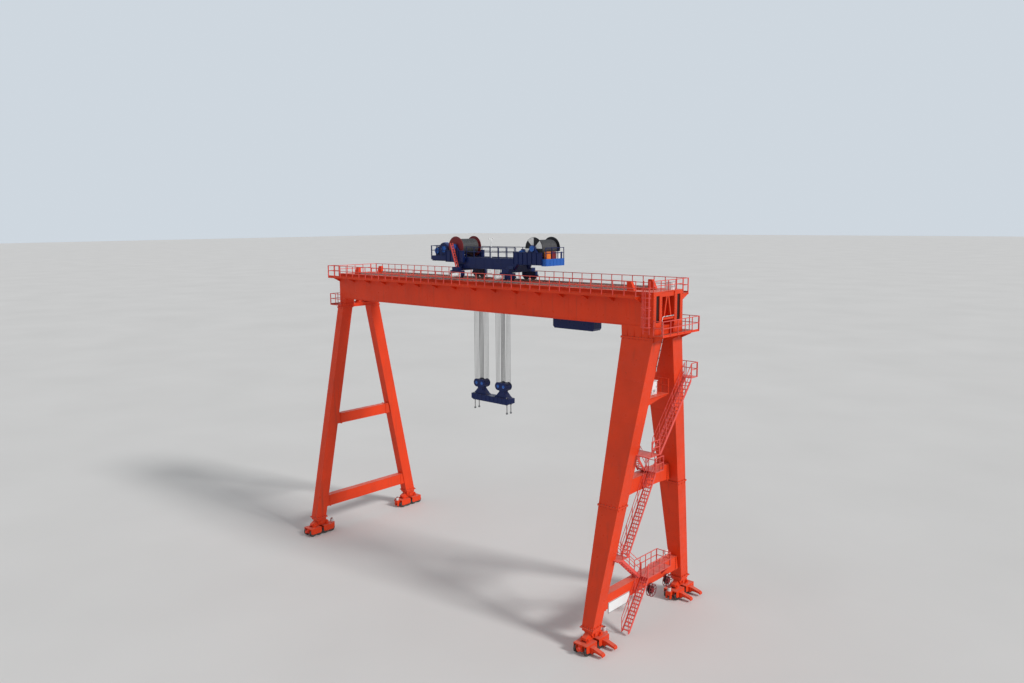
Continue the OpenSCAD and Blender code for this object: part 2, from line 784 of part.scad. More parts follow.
// Side plate of a flight with its handrail: y, z at the foot and at the head
module flight_side(x, y0, z0, y1, z1) {
    n = max(1, round(abs(z1 - z0) / 1100));
    prism_x([[y0, z0 - deck_t], [y0, z0], [y1, z1], [y1, z1 - stringer_h],
        [y0 + (y1 - y0) * (stringer_h - deck_t) / (z1 - z0), z0 - deck_t]], x, x + stringer_t);
    for (level = [rail_h / 2 - bar, rail_h - bar]) prism_x([[y0, z0 + level], [y0, z0 + level + bar],
        [y1, z1 + level + bar], [y1, z1 + level]], x, x + stringer_t);
    for (i = [0:n]) {
        f = i / n;
        y = y0 + (y1 - y0) * f;
        a = (y1 > y0) == (f < 0.5) ? 0 : -bar;
        yy = f == 0 || f == 1 ? y + a : y - bar / 2;
        z = z0 + (z1 - z0) * (yy + bar / 2 - y0) / (y1 - y0);
        box(x, x + stringer_t, yy, yy + bar, z - 60, z + rail_h - bar / 2);
    }
}

module stair_sides() {
    color(stair_paint) for (f = FLIGHTS, x = [f[0] - stair_out, f[0] + stair_w / 2])
        flight_side(x, f[1], f[2], f[3], f[4]);
}

module stair_treads() {
    color(stair_paint) for (f = FLIGHTS) {
        n = round((f[4] - f[2]) / stair_rise);
        for (i = [1:n - 1]) {
            y = f[1] + (f[3] - f[1]) * i / n;
            z = f[2] + (f[4] - f[2]) * i / n;
            box(f[0] - stair_w / 2, f[0] + stair_w / 2, y - 80, y + 80, z - 120, z - 85);
        }
    }
}

module stair_landings() {
    color(stair_paint) {
        // deck over the sill beam
        difference() {
            union() {
                box(rigid_rail_x - 250, x_low + stair_out, sill_deck_y0, sill_deck_y1, sill_deck_z - deck_t, sill_deck_z);
                for (y = [sill_deck_y0 + 200, sill_deck_y1 - 200]) prism_y([[rigid_rail_x + sill_w / 2, sill_z + 300],
                    [x_low + stair_out - 100, sill_deck_z - deck_t - 80], [x_low + stair_out - 100, sill_deck_z - deck_t],
                    [rigid_rail_x + sill_w / 2, sill_deck_z - deck_t]], y - 30, y + 30);
            }
            both_sides() rigid_leg();
        }
        // landing on the left leg's inner side
        difference() {
            union() {
                box(x_back - stair_out, x_mid + stair_out, -rigid_inner_y(land_1_z) - 300, land_1_y,
                    land_1_z - deck_t, land_1_z);
                for (x = [x_back - 100, x_mid - 500]) prism_x([[-rigid_inner_y(land_1_z) - 400, land_1_z - 600],
                    [land_1_y - 60, land_1_z - 160], [land_1_y - 60, land_1_z - deck_t],
                    [-rigid_inner_y(land_1_z) - 400, land_1_z - deck_t]], x, x + 60);
            }
            both_sides() rigid_leg();
        }
        // landing on the tie
        box(x_back - stair_out, x_mid + stair_out, tie_deck_y0, tie_deck_y0 + 1100, tie_deck_z - deck_t, tie_deck_z);
        prism_x([[tie_deck_y0 + 300, tie_z + tie_h - 120], [tie_deck_y0 + 360, tie_z + tie_h - 120],
            [tie_deck_y0 + 360, tie_deck_z - deck_t], [tie_deck_y0 + 300, tie_deck_z - deck_t]],
            rigid_in + 300, rigid_in + 100 + rigid_tie_w);
        // landing high on the left leg's inner side
        difference() {
            union() {
                box(x_back - stair_out, x_high + stair_out, -rigid_inner_y(land_3_z) - 300, land_3_y,
                    land_3_z - deck_t, land_3_z);
                for (x = [x_back - 100, x_mid]) prism_x([[-rigid_inner_y(land_3_z) - 400, land_3_z - 600],
                    [land_3_y - 60, land_3_z - 160], [land_3_y - 60, land_3_z - deck_t],
                    [-rigid_inner_y(land_3_z) - 400, land_3_z - deck_t]], x, x + 60);
            }
            both_sides() rigid_leg();
        }
        // landing outside the right leg
        difference() {
            union() {
                box(x_mid - 300, x_high + stair_out, land_4_y, land_4_y + 900, land_4_z - deck_t, land_4_z);
                box(x_mid - 300, rigid_out(land_4_z) - 200, rigid_outer_y(land_4_z) - 200, land_4_y,
                    land_4_z - deck_t, land_4_z);
                for (x = [x_mid - 250, x_high - 600]) prism_x([[rigid_outer_y(land_4_z) - 300, land_4_z - 600],
                    [land_4_y + 840, land_4_z - 160], [land_4_y + 840, land_4_z - deck_t],
                    [rigid_outer_y(land_4_z) - 300, land_4_z - deck_t]], x, x + 60);
            }
            both_sides() rigid_leg();
        }
    }
}

module landing_railings() {
    b = bar / 2;
    sill_x1 = x_low + stair_out - b;
    mid_x1 = x_mid + stair_out - b;
    high_x1 = x_high + stair_out - b;
    color(stair_paint) {
        railing_y(sill_x1, sill_deck_y0 + 5, sill_deck_y1, sill_deck_z);
        railing_x(rigid_rail_x - 250, sill_x1 - b - gap, sill_deck_y1 - b, sill_deck_z);
        railing_y(rigid_rail_x - 250 + b, sill_deck_y0 + 5, sill_deck_y1 - bar - gap, sill_deck_z);
        railing_y(mid_x1, -rigid_inner_y(land_1_z + rail_h) + 60, land_1_y - 5, land_1_z);
        railing_x(x_back - stair_out, mid_x1 - b - gap, tie_deck_y0 + 1100 - b, tie_deck_z);
        railing_y(mid_x1, tie_deck_y0 + 5, tie_deck_y0 + 1100, tie_deck_z);
        railing_y(high_x1, -rigid_inner_y(land_3_z) + 60, land_3_y - 5, land_3_z);
        railing_y(high_x1, land_4_y + 5, land_4_y + 900, land_4_z);
        railing_x(x_mid - 300, high_x1 - b - gap, land_4_y + 900 - b, land_4_z);
    }
}

// Upright ladder from the highest landing to the head platform
module upper_ladder() {
    z1 = platform_z + 900;
    color(stair_paint) translate([x_up, strip_y + 45, 0]) {
        for (s = [-1, 1]) box(s * 230 - 20, s * 230 + 20, -30, 30, land_4_z, z1);
        for (z = [land_4_z + 300:300:z1 - 200]) cyl_x(-230, 230, 0, z, 16);
    }
}

// Bracket platform on the left leg's inner side, for the two-door cabinet
module cabinet_bracket() {
    x0 = rigid_in + 950;
    x1 = x0 + 1350;
    y0 = -rigid_inner_y(cab_z) - 300;
    color(paint) difference() {
        union() {
            box(x0, x1, y0, cab_y1, cab_z - deck_t, cab_z);
            for (x = [x0 + 100, x1 - 180]) prism_x([[y0, cab_z - 620], [cab_y1 - 900, cab_z - 240],
                [cab_y1 - 60, cab_z - 160], [cab_y1 - 60, cab_z - deck_t], [y0, cab_z - deck_t]], x, x + 80);
            box(x0, x0 + bar, cab_y1 - 700, cab_y1, cab_z + rail_h - bar, cab_z + rail_h);
            railing_y(x0 + bar / 2, cab_y1 - 900, cab_y1, cab_z);
            railing_x(x0, x1, cab_y1 - bar / 2, cab_z);
        }
        both_sides() rigid_leg();
    }
}

module electrical_cabinets() {
    x0 = rigid_in + 1050;
    y0 = -rigid_inner_y(cab_z + 1100) + 60;
    top_y = 1050;
    color("white") {
        box(x0, x0 + 700, y0, y0 + 1500, cab_z, cab_z + 980);
        box(x0 - 40, x0 + 760, y0 - 30, y0 + 1530, cab_z + 980, cab_z + 1020);
        box(half - 750, half - 300, top_y - 240, top_y + 240, girder_top, girder_top + 560);
        box(half - 780, half - 270, top_y - 270, top_y + 270, girder_top + 560, girder_top + 590);
    }
}

// Two spoked reels on brackets under the deck over the sill beam
module cable_reel(y) {
    x0 = rigid_rail_x + sill_w / 2;
    z = sill_z - 350;
    w = 260;
    for (x = [x0 + 60, x0 + 60 + w]) translate([x, y, z]) rotate([0, 90, 0]) {
        difference() {
            cylinder(h = 25, r = reel_r);
            translate([0, 0, -1]) cylinder(h = 27, r = reel_r - 60);
        }
        for (a = [0:45:135]) rotate(a) translate([-reel_r + 30, -25, 0]) cube([2 * reel_r - 60, 50, 25]);
    }
    cyl_x(x0 + 50, x0 + 95 + w, y, z, 200);
    cyl_x(x0 - 100, x0 + 120 + w, y, z, 60);
    box(x0 - 120, x0 - 20, y - 120, y + 120, z - 120, sill_z);
}

module cable_reels() {
    color("darkred") for (y = [950, 3300]) cable_reel(y);
}

module panel_board() {
    x0 = rigid_rail_x + sill_w / 2;
    color("white") box(x0, x0 + panel_t, -4500, -1800, sill_z - 350, sill_z + 450);
}

// Housing hung under the back girder
module underslung_housing() {
    x0 = 6900;
    x1 = 11100;
    color(navy) {
        prism_y([[x0 + 150, girder_z - 1180], [x1 - 150, girder_z - 1180], [x1, girder_z - 1000], [x1, girder_z - 250],
            [x0, girder_z - 250], [x0, girder_z - 1000]], in_y + 100, out_y - 100);
        for (x = [x0 + 300, x1 - 500]) box(x, x + 200, in_y + 100, out_y - 100, girder_z - 250, girder_z);
    }
}

// Trolley: two main beams that carry the winches on their ends, on four two-wheel bogies
module trolley_frame() {
    k = trolley_base / 2;
    end_up = 540;
    hook = hook_at;
    color(navy) translate([trolley_x, 0, 0]) {
        both_sides() prism_y([[-frame_left, beam_z + end_up], [-k - 700, beam_z + end_up], [-k - 350, beam_z],
            [k + 350, beam_z], [k + 700, beam_z + end_up], [frame_right, beam_z + end_up], [frame_right, beam_top],
            [-frame_left, beam_top]], beam_in, beam_out);
        for (s = [-1, 1]) prism_x([[-girder_y - 300, bogie_top], [girder_y + 300, bogie_top],
            [girder_y + 300, cross_z], [beam_out + 150, cross_z], [beam_out, cross_z + 250],
            [-beam_out, cross_z + 250], [-beam_out - 150, cross_z], [-girder_y - 300, cross_z]],
            s * k - 350, s * k + 350);
        box(-frame_left, -frame_left + 200, -beam_in, beam_in, beam_z + end_up, beam_top);
        box(frame_right - 200, frame_right, -beam_in, beam_in, beam_z + end_up, beam_top);
        for (x = [hook - block_gap / 2 - 950, hook - 100, hook + block_gap / 2 + 750])
            box(x, x + 200, -beam_in, beam_in, beam_z + 150, beam_top - 100);
    }
}

// Frame of one trolley bogie, with its middle at the origin along X
module trolley_bogie() {
    in = 95;
    t = 40;
    low = tw_z - 170;
    difference() {
        union() {
            for (y = [-in - t, in]) prism_y([[-bogie_half + 150, low], [bogie_half - 150, low],
                [bogie_half, tw_z], [bogie_half, bogie_top], [-bogie_half, bogie_top], [-bogie_half, tw_z]], y, y + t);
            box(-bogie_half, bogie_half, -in, in, bogie_top - 40, bogie_top);
            for (x = [-bogie_half, bogie_half - 40]) box(x, x + 40, -in, in, tw_z - 60, bogie_top - 40);
        }
        for (x = [-trolley_truck / 2, trolley_truck / 2]) cyl_y(x, -in - t - 1, in + t + 1, tw_z, 60 + gap);
    }
}

module trolley_bogies() {
    k = trolley_base / 2;
    color(navy) translate([trolley_x, 0, 0]) both_sides() for (s = [-1, 1]) {
        translate([s * k, girder_y, 0]) {
            trolley_bogie();
            cyl_x(s > 0 ? bogie_half : -bogie_half - 150, s > 0 ? bogie_half + 150 : -bogie_half, 0, tw_z + 50, 75);
        }
    }
}

module trolley_wheels() {
    k = trolley_base / 2;
    e = 20;
    w = rail_w / 2 + 5;
    f = tw_r + 22;
    a = 60;
    color(steel) translate([trolley_x, 0, tw_z]) both_sides() for (s = [-1, 1], t = [-1, 1])
        translate([s * k + t * trolley_truck / 2, girder_y, 0]) rotate([90, 0, 0]) rotate_extrude() polygon([[0, -135],
            [a, -135], [a, -w - e], [f, -w - e], [f, -w - 4], [tw_r, -w], [tw_r, w], [f, w + 4], [f, w + e],
            [a, w + e], [a, 135], [0, 135]]);
}

// Gearbox and motor beside the inner wheel of each bogie
module trolley_drives() {
    k = trolley_base / 2 - trolley_truck / 2;
    y = girder_y + 135;
    color("gainsboro") translate([trolley_x, 0, 0]) both_sides() for (s = [-1, 1]) translate([s * k, 0, 0]) {
        box(-170, 170, y + gap, y + 260, tw_z - 130, tw_z + 200);
        cyl_y(0, y + 260, y + 330, tw_z + 30, 110);
        cyl_y(0, y + 330, y + 900, tw_z + 30, 165);
        cyl_y(0, y + 900, y + 960, tw_z + 30, 120);
    }
}

// Cheek plate beside a drum, with the drum's bearing on top, from x0 to x1
module cheek(x0, x1, drum, y) {
    low = beam_top - 450;
    top = beam_top + 560;
    difference() {
        union() {
            box(x0, x1, y, y + cheek_t, low, top);
            prism_y([[drum - 520, top], [drum + 520, top], [drum + 240, drum_z + 60], [drum - 240, drum_z + 60]],
                y, y + cheek_t);
            cyl_y(drum, y, y + cheek_t + 60, drum_z, 270);
        }
        cyl_y(drum, y - 1, y + cheek_t + 61, drum_z, shaft_r + gap);
    }
}

// Winch base: two cheeks tied to the main beams, and an end deck
module winch_base(x0, x1, drum) {
    both_sides() {
        cheek(x0, x1, drum, cheek_y);
        for (x = [x0, x1 - 250]) box(x, x + 250, beam_out, cheek_y, beam_top - 380, beam_top);
    }
}

// Motor with cooling fins along Y, on a foot
module motor(x, y0, y1, z, r) {
    cyl_y(x, y0, y1, z, r);
    for (y = [y0 + 80:90:y1 - 200]) cyl_y(x, y, y + 35, z, r + 22);
    box(x - r * 0.8, x + r * 0.8, y0 + 60, y1 - 100, beam_top, z);
    box(x - 110, x + 110, y0 + 150, y0 + 420, z + r * 0.8, z + r + 110);
}

// Gearbox with a rounded top between x0 and x1
module gearbox(x0, x1, y0, y1, z1) {
    r = (x1 - x0) / 2;
    box(x0, x1, y0, y1, beam_top, z1 - r * 0.5);
    intersection() {
        cyl_y((x0 + x1) / 2, y0, y1, z1 - r, r);
        box(x0, x1, y0, y1, z1 - r, z1);
    }
    box(x0 - 50, x1 + 50, y0, y1, beam_top, beam_top + 60);
}

module left_winch() {
    drum = left_drum_at;
    color(navy) translate([trolley_x, 0, 0]) {
        winch_base(drum - 1100, drum + 1100, drum);
        box(-frame_left, drum - 1000, -cheek_y, cheek_y, beam_top, beam_top + 50);
        both_sides() box(-frame_left, drum - 1000, beam_out, cheek_y, beam_top - 300, beam_top);
        translate([0, 0, 50]) {
            gearbox(drum - 2250, drum - 1150, 350, 1000, beam_top + 1150);
            gearbox(drum - 2250, drum - 1150, -1000, -450, beam_top + 1150);
            motor(drum - 2650, -950, 900, beam_top + 420, 260);
        }
    }
}

module right_winch() {
    drum = right_drum_at;
    x0 = drum - 2050;
    color(navy) translate([trolley_x, 0, 0]) {
        winch_base(x0, frame_right, drum);
        both_sides() prism_y([[frame_right, beam_top - 350], [frame_right + stage_out - 40, beam_top - 60],
            [frame_right + stage_out - 40, beam_top], [frame_right, beam_top]], beam_in + 60, beam_out - 60);
        box(frame_right - 100, frame_right + stage_out, -cheek_y, cheek_y, beam_top, beam_top + 50);
        gearbox(x0 + 20, drum - 1000, 250, 900, beam_top + 1000);
        motor(x0 + 500, -950, 200, beam_top + 420, 260);
        for (y = [-950, -350, 250]) box(frame_right + 40, frame_right + stage_out - 60, y, y + 480, beam_top + 50,
            beam_top + 620);
    }
}

module trolley_railings() {
    b = bar / 2;
    y1 = cheek_y - b;
    color(navy) translate([trolley_x, 0, 0]) {
        for (s = [-1, 1]) {
            railing_x(-frame_left, left_drum_at - 1105, s * y1, beam_top + 50, 900);
            railing_x(left_drum_at + 1105, right_drum_at - 2055, s * (beam_out - b), beam_top, 900);
        }
        railing_y(-frame_left + b, -y1 + b + gap, y1 - b - gap, beam_top + 50, 900);
        railing_y(frame_right + stage_out - b, -cheek_y, cheek_y, beam_top + 50, 900);
    }
}

// Steep ladder beside the left drum, standing on the end of the cross beam
module trolley_ladder() {
    face = -cheek_y - cheek_t;
    x_top = left_drum_at - 130;
    x_foot = -trolley_base / 2 + 145;
    z_top = beam_top + 1200;
    h = z_top - cross_z;
    color(stair_paint) translate([trolley_x, 0, 0]) {
        for (y = [face - 385, face - 110]) prism_y([[x_top - 60, z_top], [x_top + 60, z_top],
            [x_foot + 60, cross_z], [x_foot - 60, cross_z]], y, y + 40);
        for (i = [1:8]) let (x = x_top + (x_foot - x_top) * i / 9, z = z_top - h * i / 9)
            box(x - 60, x + 60, face - 385, face - 70, z - 20, z + 20);
        for (f = [0.35, 0.6]) let (x = x_top + (x_foot - x_top) * f, z = z_top - h * f)
            box(x - 40, x + 40, face - 90, face, z - 40, z + 40);
    }
}

module mast() {
    z0 = beam_top - 100;
    color("white") translate([hook_x, 0, 0]) {
        translate([0, 0, z0]) cylinder(h = 30, r = 130);
        translate([0, 0, z0]) cylinder(h = 1750, r = 35);
        box(-25, 25, -260, 260, z0 + 1600, z0 + 1640);
        translate([0, -220, z0 + 1640]) cylinder(h = 130, r = 55);
        translate([0, 220, z0 + 1640]) cylinder(h = 90, r = 70);
    }
}

function pulley_y(i) = (i - (pulley_count - 1) / 2) * pulley_pitch;

// A row of grooved pulleys on one shaft along Y
module pulley_row(x, z, shaft, half_l) {
    e = pulley_pitch / 2;
    g = rope_d / 2 + 4;
    translate([x, 0, z]) rotate([90, 0, 0]) rotate_extrude() polygon(concat([[0, -half_l], [shaft, -half_l],
        [shaft, pulley_y(0) - e]], [for (i = [0:pulley_count - 1], k = [0:5]) let (y = pulley_y(i))
            [[rim_r, y - e + 8], [rim_r, y - g], [pulley_r, y - g + 6], [pulley_r, y + g - 6], [rim_r, y + g],
            [rim_r, y + e - 8]][k]], [[shaft, pulley_y(pulley_count - 1) + e], [shaft, half_l], [0, half_l]]));
}

module upper_pulleys() {
    color(steel) for (b = [-1, 1], s = [-1, 1])
        pulley_row(hook_x + b * block_gap / 2 + s * pulley_gap / 2, top_pulley_z, 70, beam_in);
}

// Falls of rope between the upper and the lower pulleys of one block
module rope_falls(x) {
    for (s = [-1, 1], t = [-1, 1], i = [0:pulley_count - 1])
        translate([x + s * pulley_gap / 2 + t * rope_off, pulley_y(i), block_z])
            cylinder(h = top_pulley_z - block_z, r = rope_d / 2, $fn = 16);
}

module left_ropes() {
    color(steel) rope_falls(hook_x - block_gap / 2);
}

module right_ropes() {
    color(steel) rope_falls(hook_x + block_gap / 2);
}

// Rope drum: barrel with shallow rope grooves, an end disc each side and a shaft
module drum(x) {
    y0 = -cheek_y + 30;
    y1 = cheek_y - 30;
    groove = 60;
    n = floor((y1 - y0 - 400) / groove);
    disc = 45;
    s = (y1 - y0 - n * groove) / 2;
    shaft_end = cheek_y + cheek_t;
    translate([x, 0, drum_z]) rotate([90, 0, 0]) rotate_extrude() polygon(concat(
        [[0, -shaft_end], [shaft_r, -shaft_end], [shaft_r, y0], [disc_r, y0], [disc_r, y0 + disc]],
        [[barrel_r + 10, y0 + disc + 20]],
        [for (i = [0:n - 1], k = [0, 1]) [barrel_r - 18 * k, y0 + s + (i + k / 2) * groove]],
        [[barrel_r + 10, y1 - disc - 20], [disc_r, y1 - disc], [disc_r, y1], [shaft_r, y1],
        [shaft_r, shaft_end], [0, shaft_end]]));
}

module left_drum() {
    color("darkred") drum(trolley_x + left_drum_at);
}

module right_drum() {
    color(steel) drum(trolley_x + right_drum_at);
}

module spreader_beam() {
    l = spreader_len / 2;
    w = spreader_w / 2;
    z0 = spreader_top - spreader_h;
    color(navy) translate([hook_x, 0, 0]) {
        prism_y([[-l, z0 + 120], [-l + 250, z0], [l - 250, z0], [l, z0 + 120], [l, spreader_top],
            [-l, spreader_top]], -w, w);
        for (s = [-1, 1]) translate([s * block_gap / 2, 0, 0]) prism_y([[-850, spreader_top],
            [850, spreader_top], [650, spreader_top + 130], [270, neck_z - 140], [250, neck_z], [-250, neck_z],
            [-270, neck_z - 140], [-650, spreader_top + 130]], -280, 280);
    }
}

// Lower block: two round-ended cheek plates with the pulleys between them
module pulley_block(x) {
    r = rim_r + 42;
    p = pulley_gap / 2;
    in = pulley_count * pulley_pitch / 2 + 15;
    for (s = [-1, 1]) {
        translate([x, s > 0 ? in + 40 : -in, block_z]) rotate([90, 0, 0]) linear_extrude(40) {
            translate([-p, 0]) circle(r = r);
            translate([p, 0]) circle(r = r);
            translate([-p, -r]) square([2 * p, 2 * r - 70]);
        }
        pulley_row(x + s * p, block_z, 70, in);
    }
    box(x - p - 100, x + p + 100, -in, in, neck_z, neck_z + 36);
}

module pulley_blocks() {
    color(navy) for (s = [-1, 1]) pulley_block(hook_x + s * block_gap / 2);
}

module lifting_rods() {
    z1 = spreader_top - spreader_h;
    eye_z = z1 - rod_len + 90;
    color(steel) for (s = [-1, 1], t = [-1, 1]) translate([hook_x + s * (spreader_len / 2 - 320), t * 250, 0]) {
        difference() {
            union() {
                translate([0, 0, eye_z]) cylinder(h = z1 - eye_z, r = 38);
                cyl_y(0, -45, 45, eye_z, 90);
            }
            cyl_y(0, -46, 46, eye_z, eye_bore);
        }
        translate([0, 0, z1 - 50]) cylinder(h = 50, r = 80);
    }
}

front_girder();
back_girder();
near_end_frame();
far_end_frame();
trolley_rails();
rail_end_stops();
front_walkway();
back_walkway();
front_railing();
back_railing();
end_railings();
near_head_platform();
far_head_platform();
head_railings();
caged_ladder();
rigid_leg_saddle();
rigid_leg_left();
rigid_leg_right();
rigid_leg_tie();
rigid_leg_sill();
flexible_leg_saddle();
flexible_leg_left();
flexible_leg_right();
flexible_leg_tie();
flexible_leg_sill();
near_left_bogie();
near_right_bogie();
far_left_bogie();
far_right_bogie();
near_wheels();
far_wheels();
near_drives();
far_drives();
stair_sides();
stair_treads();
stair_landings();
landing_railings();
upper_ladder();
cabinet_bracket();
electrical_cabinets();
cable_reels();
panel_board();
underslung_housing();
trolley_frame();
trolley_bogies();
trolley_wheels();
trolley_drives();
left_winch();
right_winch();
trolley_railings();
trolley_ladder();
mast();
upper_pulleys();
left_ropes();
right_ropes();
left_drum();
right_drum();
spreader_beam();
pulley_blocks();
lifting_rods();
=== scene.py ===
import math

import bpy
from mathutils import Matrix, Vector


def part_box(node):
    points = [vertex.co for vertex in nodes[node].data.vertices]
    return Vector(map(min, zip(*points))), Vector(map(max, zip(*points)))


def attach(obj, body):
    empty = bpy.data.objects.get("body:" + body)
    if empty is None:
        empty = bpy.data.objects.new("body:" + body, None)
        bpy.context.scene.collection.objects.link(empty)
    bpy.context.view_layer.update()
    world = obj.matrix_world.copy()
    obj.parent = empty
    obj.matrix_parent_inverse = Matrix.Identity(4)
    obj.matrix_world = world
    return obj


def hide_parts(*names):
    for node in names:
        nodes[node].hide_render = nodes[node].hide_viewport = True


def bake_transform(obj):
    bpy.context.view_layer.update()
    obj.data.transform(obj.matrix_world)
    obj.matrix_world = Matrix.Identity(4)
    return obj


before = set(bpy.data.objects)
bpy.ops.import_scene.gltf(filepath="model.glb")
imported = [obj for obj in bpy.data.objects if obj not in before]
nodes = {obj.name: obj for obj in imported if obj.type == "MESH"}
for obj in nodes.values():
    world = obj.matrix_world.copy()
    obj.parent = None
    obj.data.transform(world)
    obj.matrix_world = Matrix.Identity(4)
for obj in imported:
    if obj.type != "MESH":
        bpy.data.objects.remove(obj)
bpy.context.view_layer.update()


def box_middle(name, axis):
    """Half way along a node's box on one axis: 0 is X, 1 is Y, 2 is Z."""
    lo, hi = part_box(name)
    return (lo[axis] + hi[axis]) / 2


# Sizes in metres, read from the frame. The typed ones repeat values of the source

girder_lo, girder_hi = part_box("front_girder")
half = girder_hi[0]
girder_z, girder_top = girder_lo[2], girder_hi[2]
out_y, in_y = -girder_lo[1], -girder_hi[1]
girder_y = (out_y + in_y) / 2
web_in = 0.04
web_y = out_y - web_in

walk_lo, walk_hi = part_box("back_walkway")
walk_y, walk_z = walk_hi[1], walk_hi[2]
front_walk_lo, front_walk_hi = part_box("front_walkway")
platform_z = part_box("near_head_platform")[1][2]

leg_lo, leg_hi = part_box("rigid_leg_right")
plate_out = 0.06
plate_t = 0.06
rigid_in = leg_lo[0] + plate_out
foot_z, head_z = leg_lo[2], leg_hi[2]
rigid_foot_y, rigid_head_y = 6.0, 1.29
rigid_foot_w, rigid_head_w = 1.03, 1.30
rigid_foot_d, rigid_head_d = 1.0, half - rigid_in
flex_lo, flex_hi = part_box("flexible_leg_right")
flex_out = flex_lo[0] + plate_out
flex_d = flex_hi[0] - flex_lo[0] - 2 * plate_out
flex_foot_y, flex_head_y, flex_w = 5.8, 1.68, 1.15
splice_z, tie_z, sill_z = 10.4, 10.8, 2.6

rigid_flanges = ((splice_z + plate_t, 1), (splice_z - plate_t, -1),
                 (head_z - plate_t, -1), (foot_z + plate_t, 1))
flex_flanges = ((head_z - plate_t, -1), (foot_z + plate_t, 1))

rigid_rail_x = rigid_in + rigid_foot_d / 2
flex_rail_x = flex_out + flex_d / 2
rail_pair, truck_gap, truck_base = 0.95, 1.48, 0.72
ground_wheel_z = 0.345
buffer_y = 1.5
cabinet_h = 1.02
reel_places = (0.95, 3.30)

frame_lo, frame_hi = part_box("trolley_frame")
beam_top = frame_hi[2]
beam_z = beam_top - 0.95
beam_out = 1.0
cheek_y = 1.15
cheek_face = cheek_y - 0.03
stage_out = 0.35
drum_lo, drum_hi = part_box("left_drum")
drum_z = box_middle("left_drum", 2)
disc_r = (drum_hi[2] - drum_lo[2]) / 2
left_drum_x = box_middle("left_drum", 0)
right_drum_x = box_middle("right_drum", 0)
barrel_r = 0.65
spreader_lo, spreader_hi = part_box("spreader_beam")
hook_x = box_middle("spreader_beam", 0)
trolley_x = hook_x + 0.205
trolley_truck, trolley_wheel_x = 5.95, 0.38
block_gap, pulley_x = 2.6, 0.32


def leg_part(z):
    return (z - foot_z) / (head_z - foot_z)


def rigid_mid(z):
    return rigid_foot_y + (rigid_head_y - rigid_foot_y) * leg_part(z)


def rigid_wide(z):
    return rigid_foot_w + (rigid_head_w - rigid_foot_w) * leg_part(z)


def rigid_out(z):
    return rigid_in + rigid_foot_d + (rigid_head_d - rigid_foot_d) * leg_part(z)


def flex_mid(z):
    return flex_foot_y + (flex_head_y - flex_foot_y) * leg_part(z)


# Materials

dust_colour = (0.55, 0.45, 0.36)
deck_dust = (0.45, 0.36, 0.28)
rust_colour = (0.16, 0.055, 0.02)
# The first rope colour is painted shade laid in the grooves between the strands; the second is the
# strands' own colour.
rope_groove_shade, rope_strand = (0.03, 0.03, 0.032), (0.10, 0.10, 0.105)
fade_gain, fade_lift = 0.86, 0.003


def new_material(name):
    material = bpy.data.materials.new(name)
    material.use_nodes = True
    tree = material.node_tree
    shader = tree.nodes["Principled BSDF"]
    return material, tree, shader


def noise(tree, scale, stretch=(1, 1, 1), detail=4.0):
    """A noise texture on the object's coordinates, stretched along each axis."""
    place = tree.nodes.new("ShaderNodeTexCoord")
    mapping = tree.nodes.new("ShaderNodeMapping")
    mapping.inputs["Scale"].default_value = stretch
    texture = tree.nodes.new("ShaderNodeTexNoise")
    texture.inputs["Scale"].default_value = scale
    texture.inputs["Detail"].default_value = detail
    tree.links.new(place.outputs["Object"], mapping.inputs["Vector"])
    tree.links.new(mapping.outputs["Vector"], texture.inputs["Vector"])
    return texture.outputs["Fac"]


def ramp(tree, source, low, high, top=1.0):
    """Turns a value into 0 below low and top above high."""
    step = tree.nodes.new("ShaderNodeMapRange")
    step.inputs["From Min"].default_value = low
    step.inputs["From Max"].default_value = high
    step.inputs["To Max"].default_value = top
    tree.links.new(source, step.inputs["Value"])
    return step.outputs["Result"]


def mix(tree, amount, first, second):
    """Mixes two colours, each a socket or three numbers."""
    blend = tree.nodes.new("ShaderNodeMix")
    blend.data_type = "RGBA"
    first_socket, second_socket, result_socket = 6, 7, 2
    tree.links.new(amount, blend.inputs["Factor"])
    for value, socket in ((first, first_socket), (second, second_socket)):
        if isinstance(value, tuple):
            blend.inputs[socket].default_value = (*value, 1)
        else:
            tree.links.new(value, blend.inputs[socket])
    return blend.outputs[result_socket]


def top_dust(tree, amount):
    """A value that is amount on faces that look up and 0 on the others."""
    place = tree.nodes.new("ShaderNodeTexCoord")
    parts = tree.nodes.new("ShaderNodeSeparateXYZ")
    tree.links.new(place.outputs["Normal"], parts.inputs["Vector"])
    return ramp(tree, parts.outputs["Z"], 0.6, 1.0, amount)


def multiply(tree, first, second):
    times = tree.nodes.new("ShaderNodeMath")
    times.operation = "MULTIPLY"
    tree.links.new(first, times.inputs[0])
    tree.links.new(second, times.inputs[1])
    return times.outputs[0]


def bump(tree, shader, height, strength, distance):
    bumps = tree.nodes.new("ShaderNodeBump")
    bumps.inputs["Strength"].default_value = strength
    bumps.inputs["Distance"].default_value = distance
    tree.links.new(height, bumps.inputs["Height"])
    tree.links.new(bumps.outputs["Normal"], shader.inputs["Normal"])


def uneven_gloss(tree, shader, scale, rough):
    """Roughness that wanders about the given value."""
    tree.links.new(ramp(tree, noise(tree, scale), 0.0, 1.0, rough * 2), shader.inputs["Roughness"])


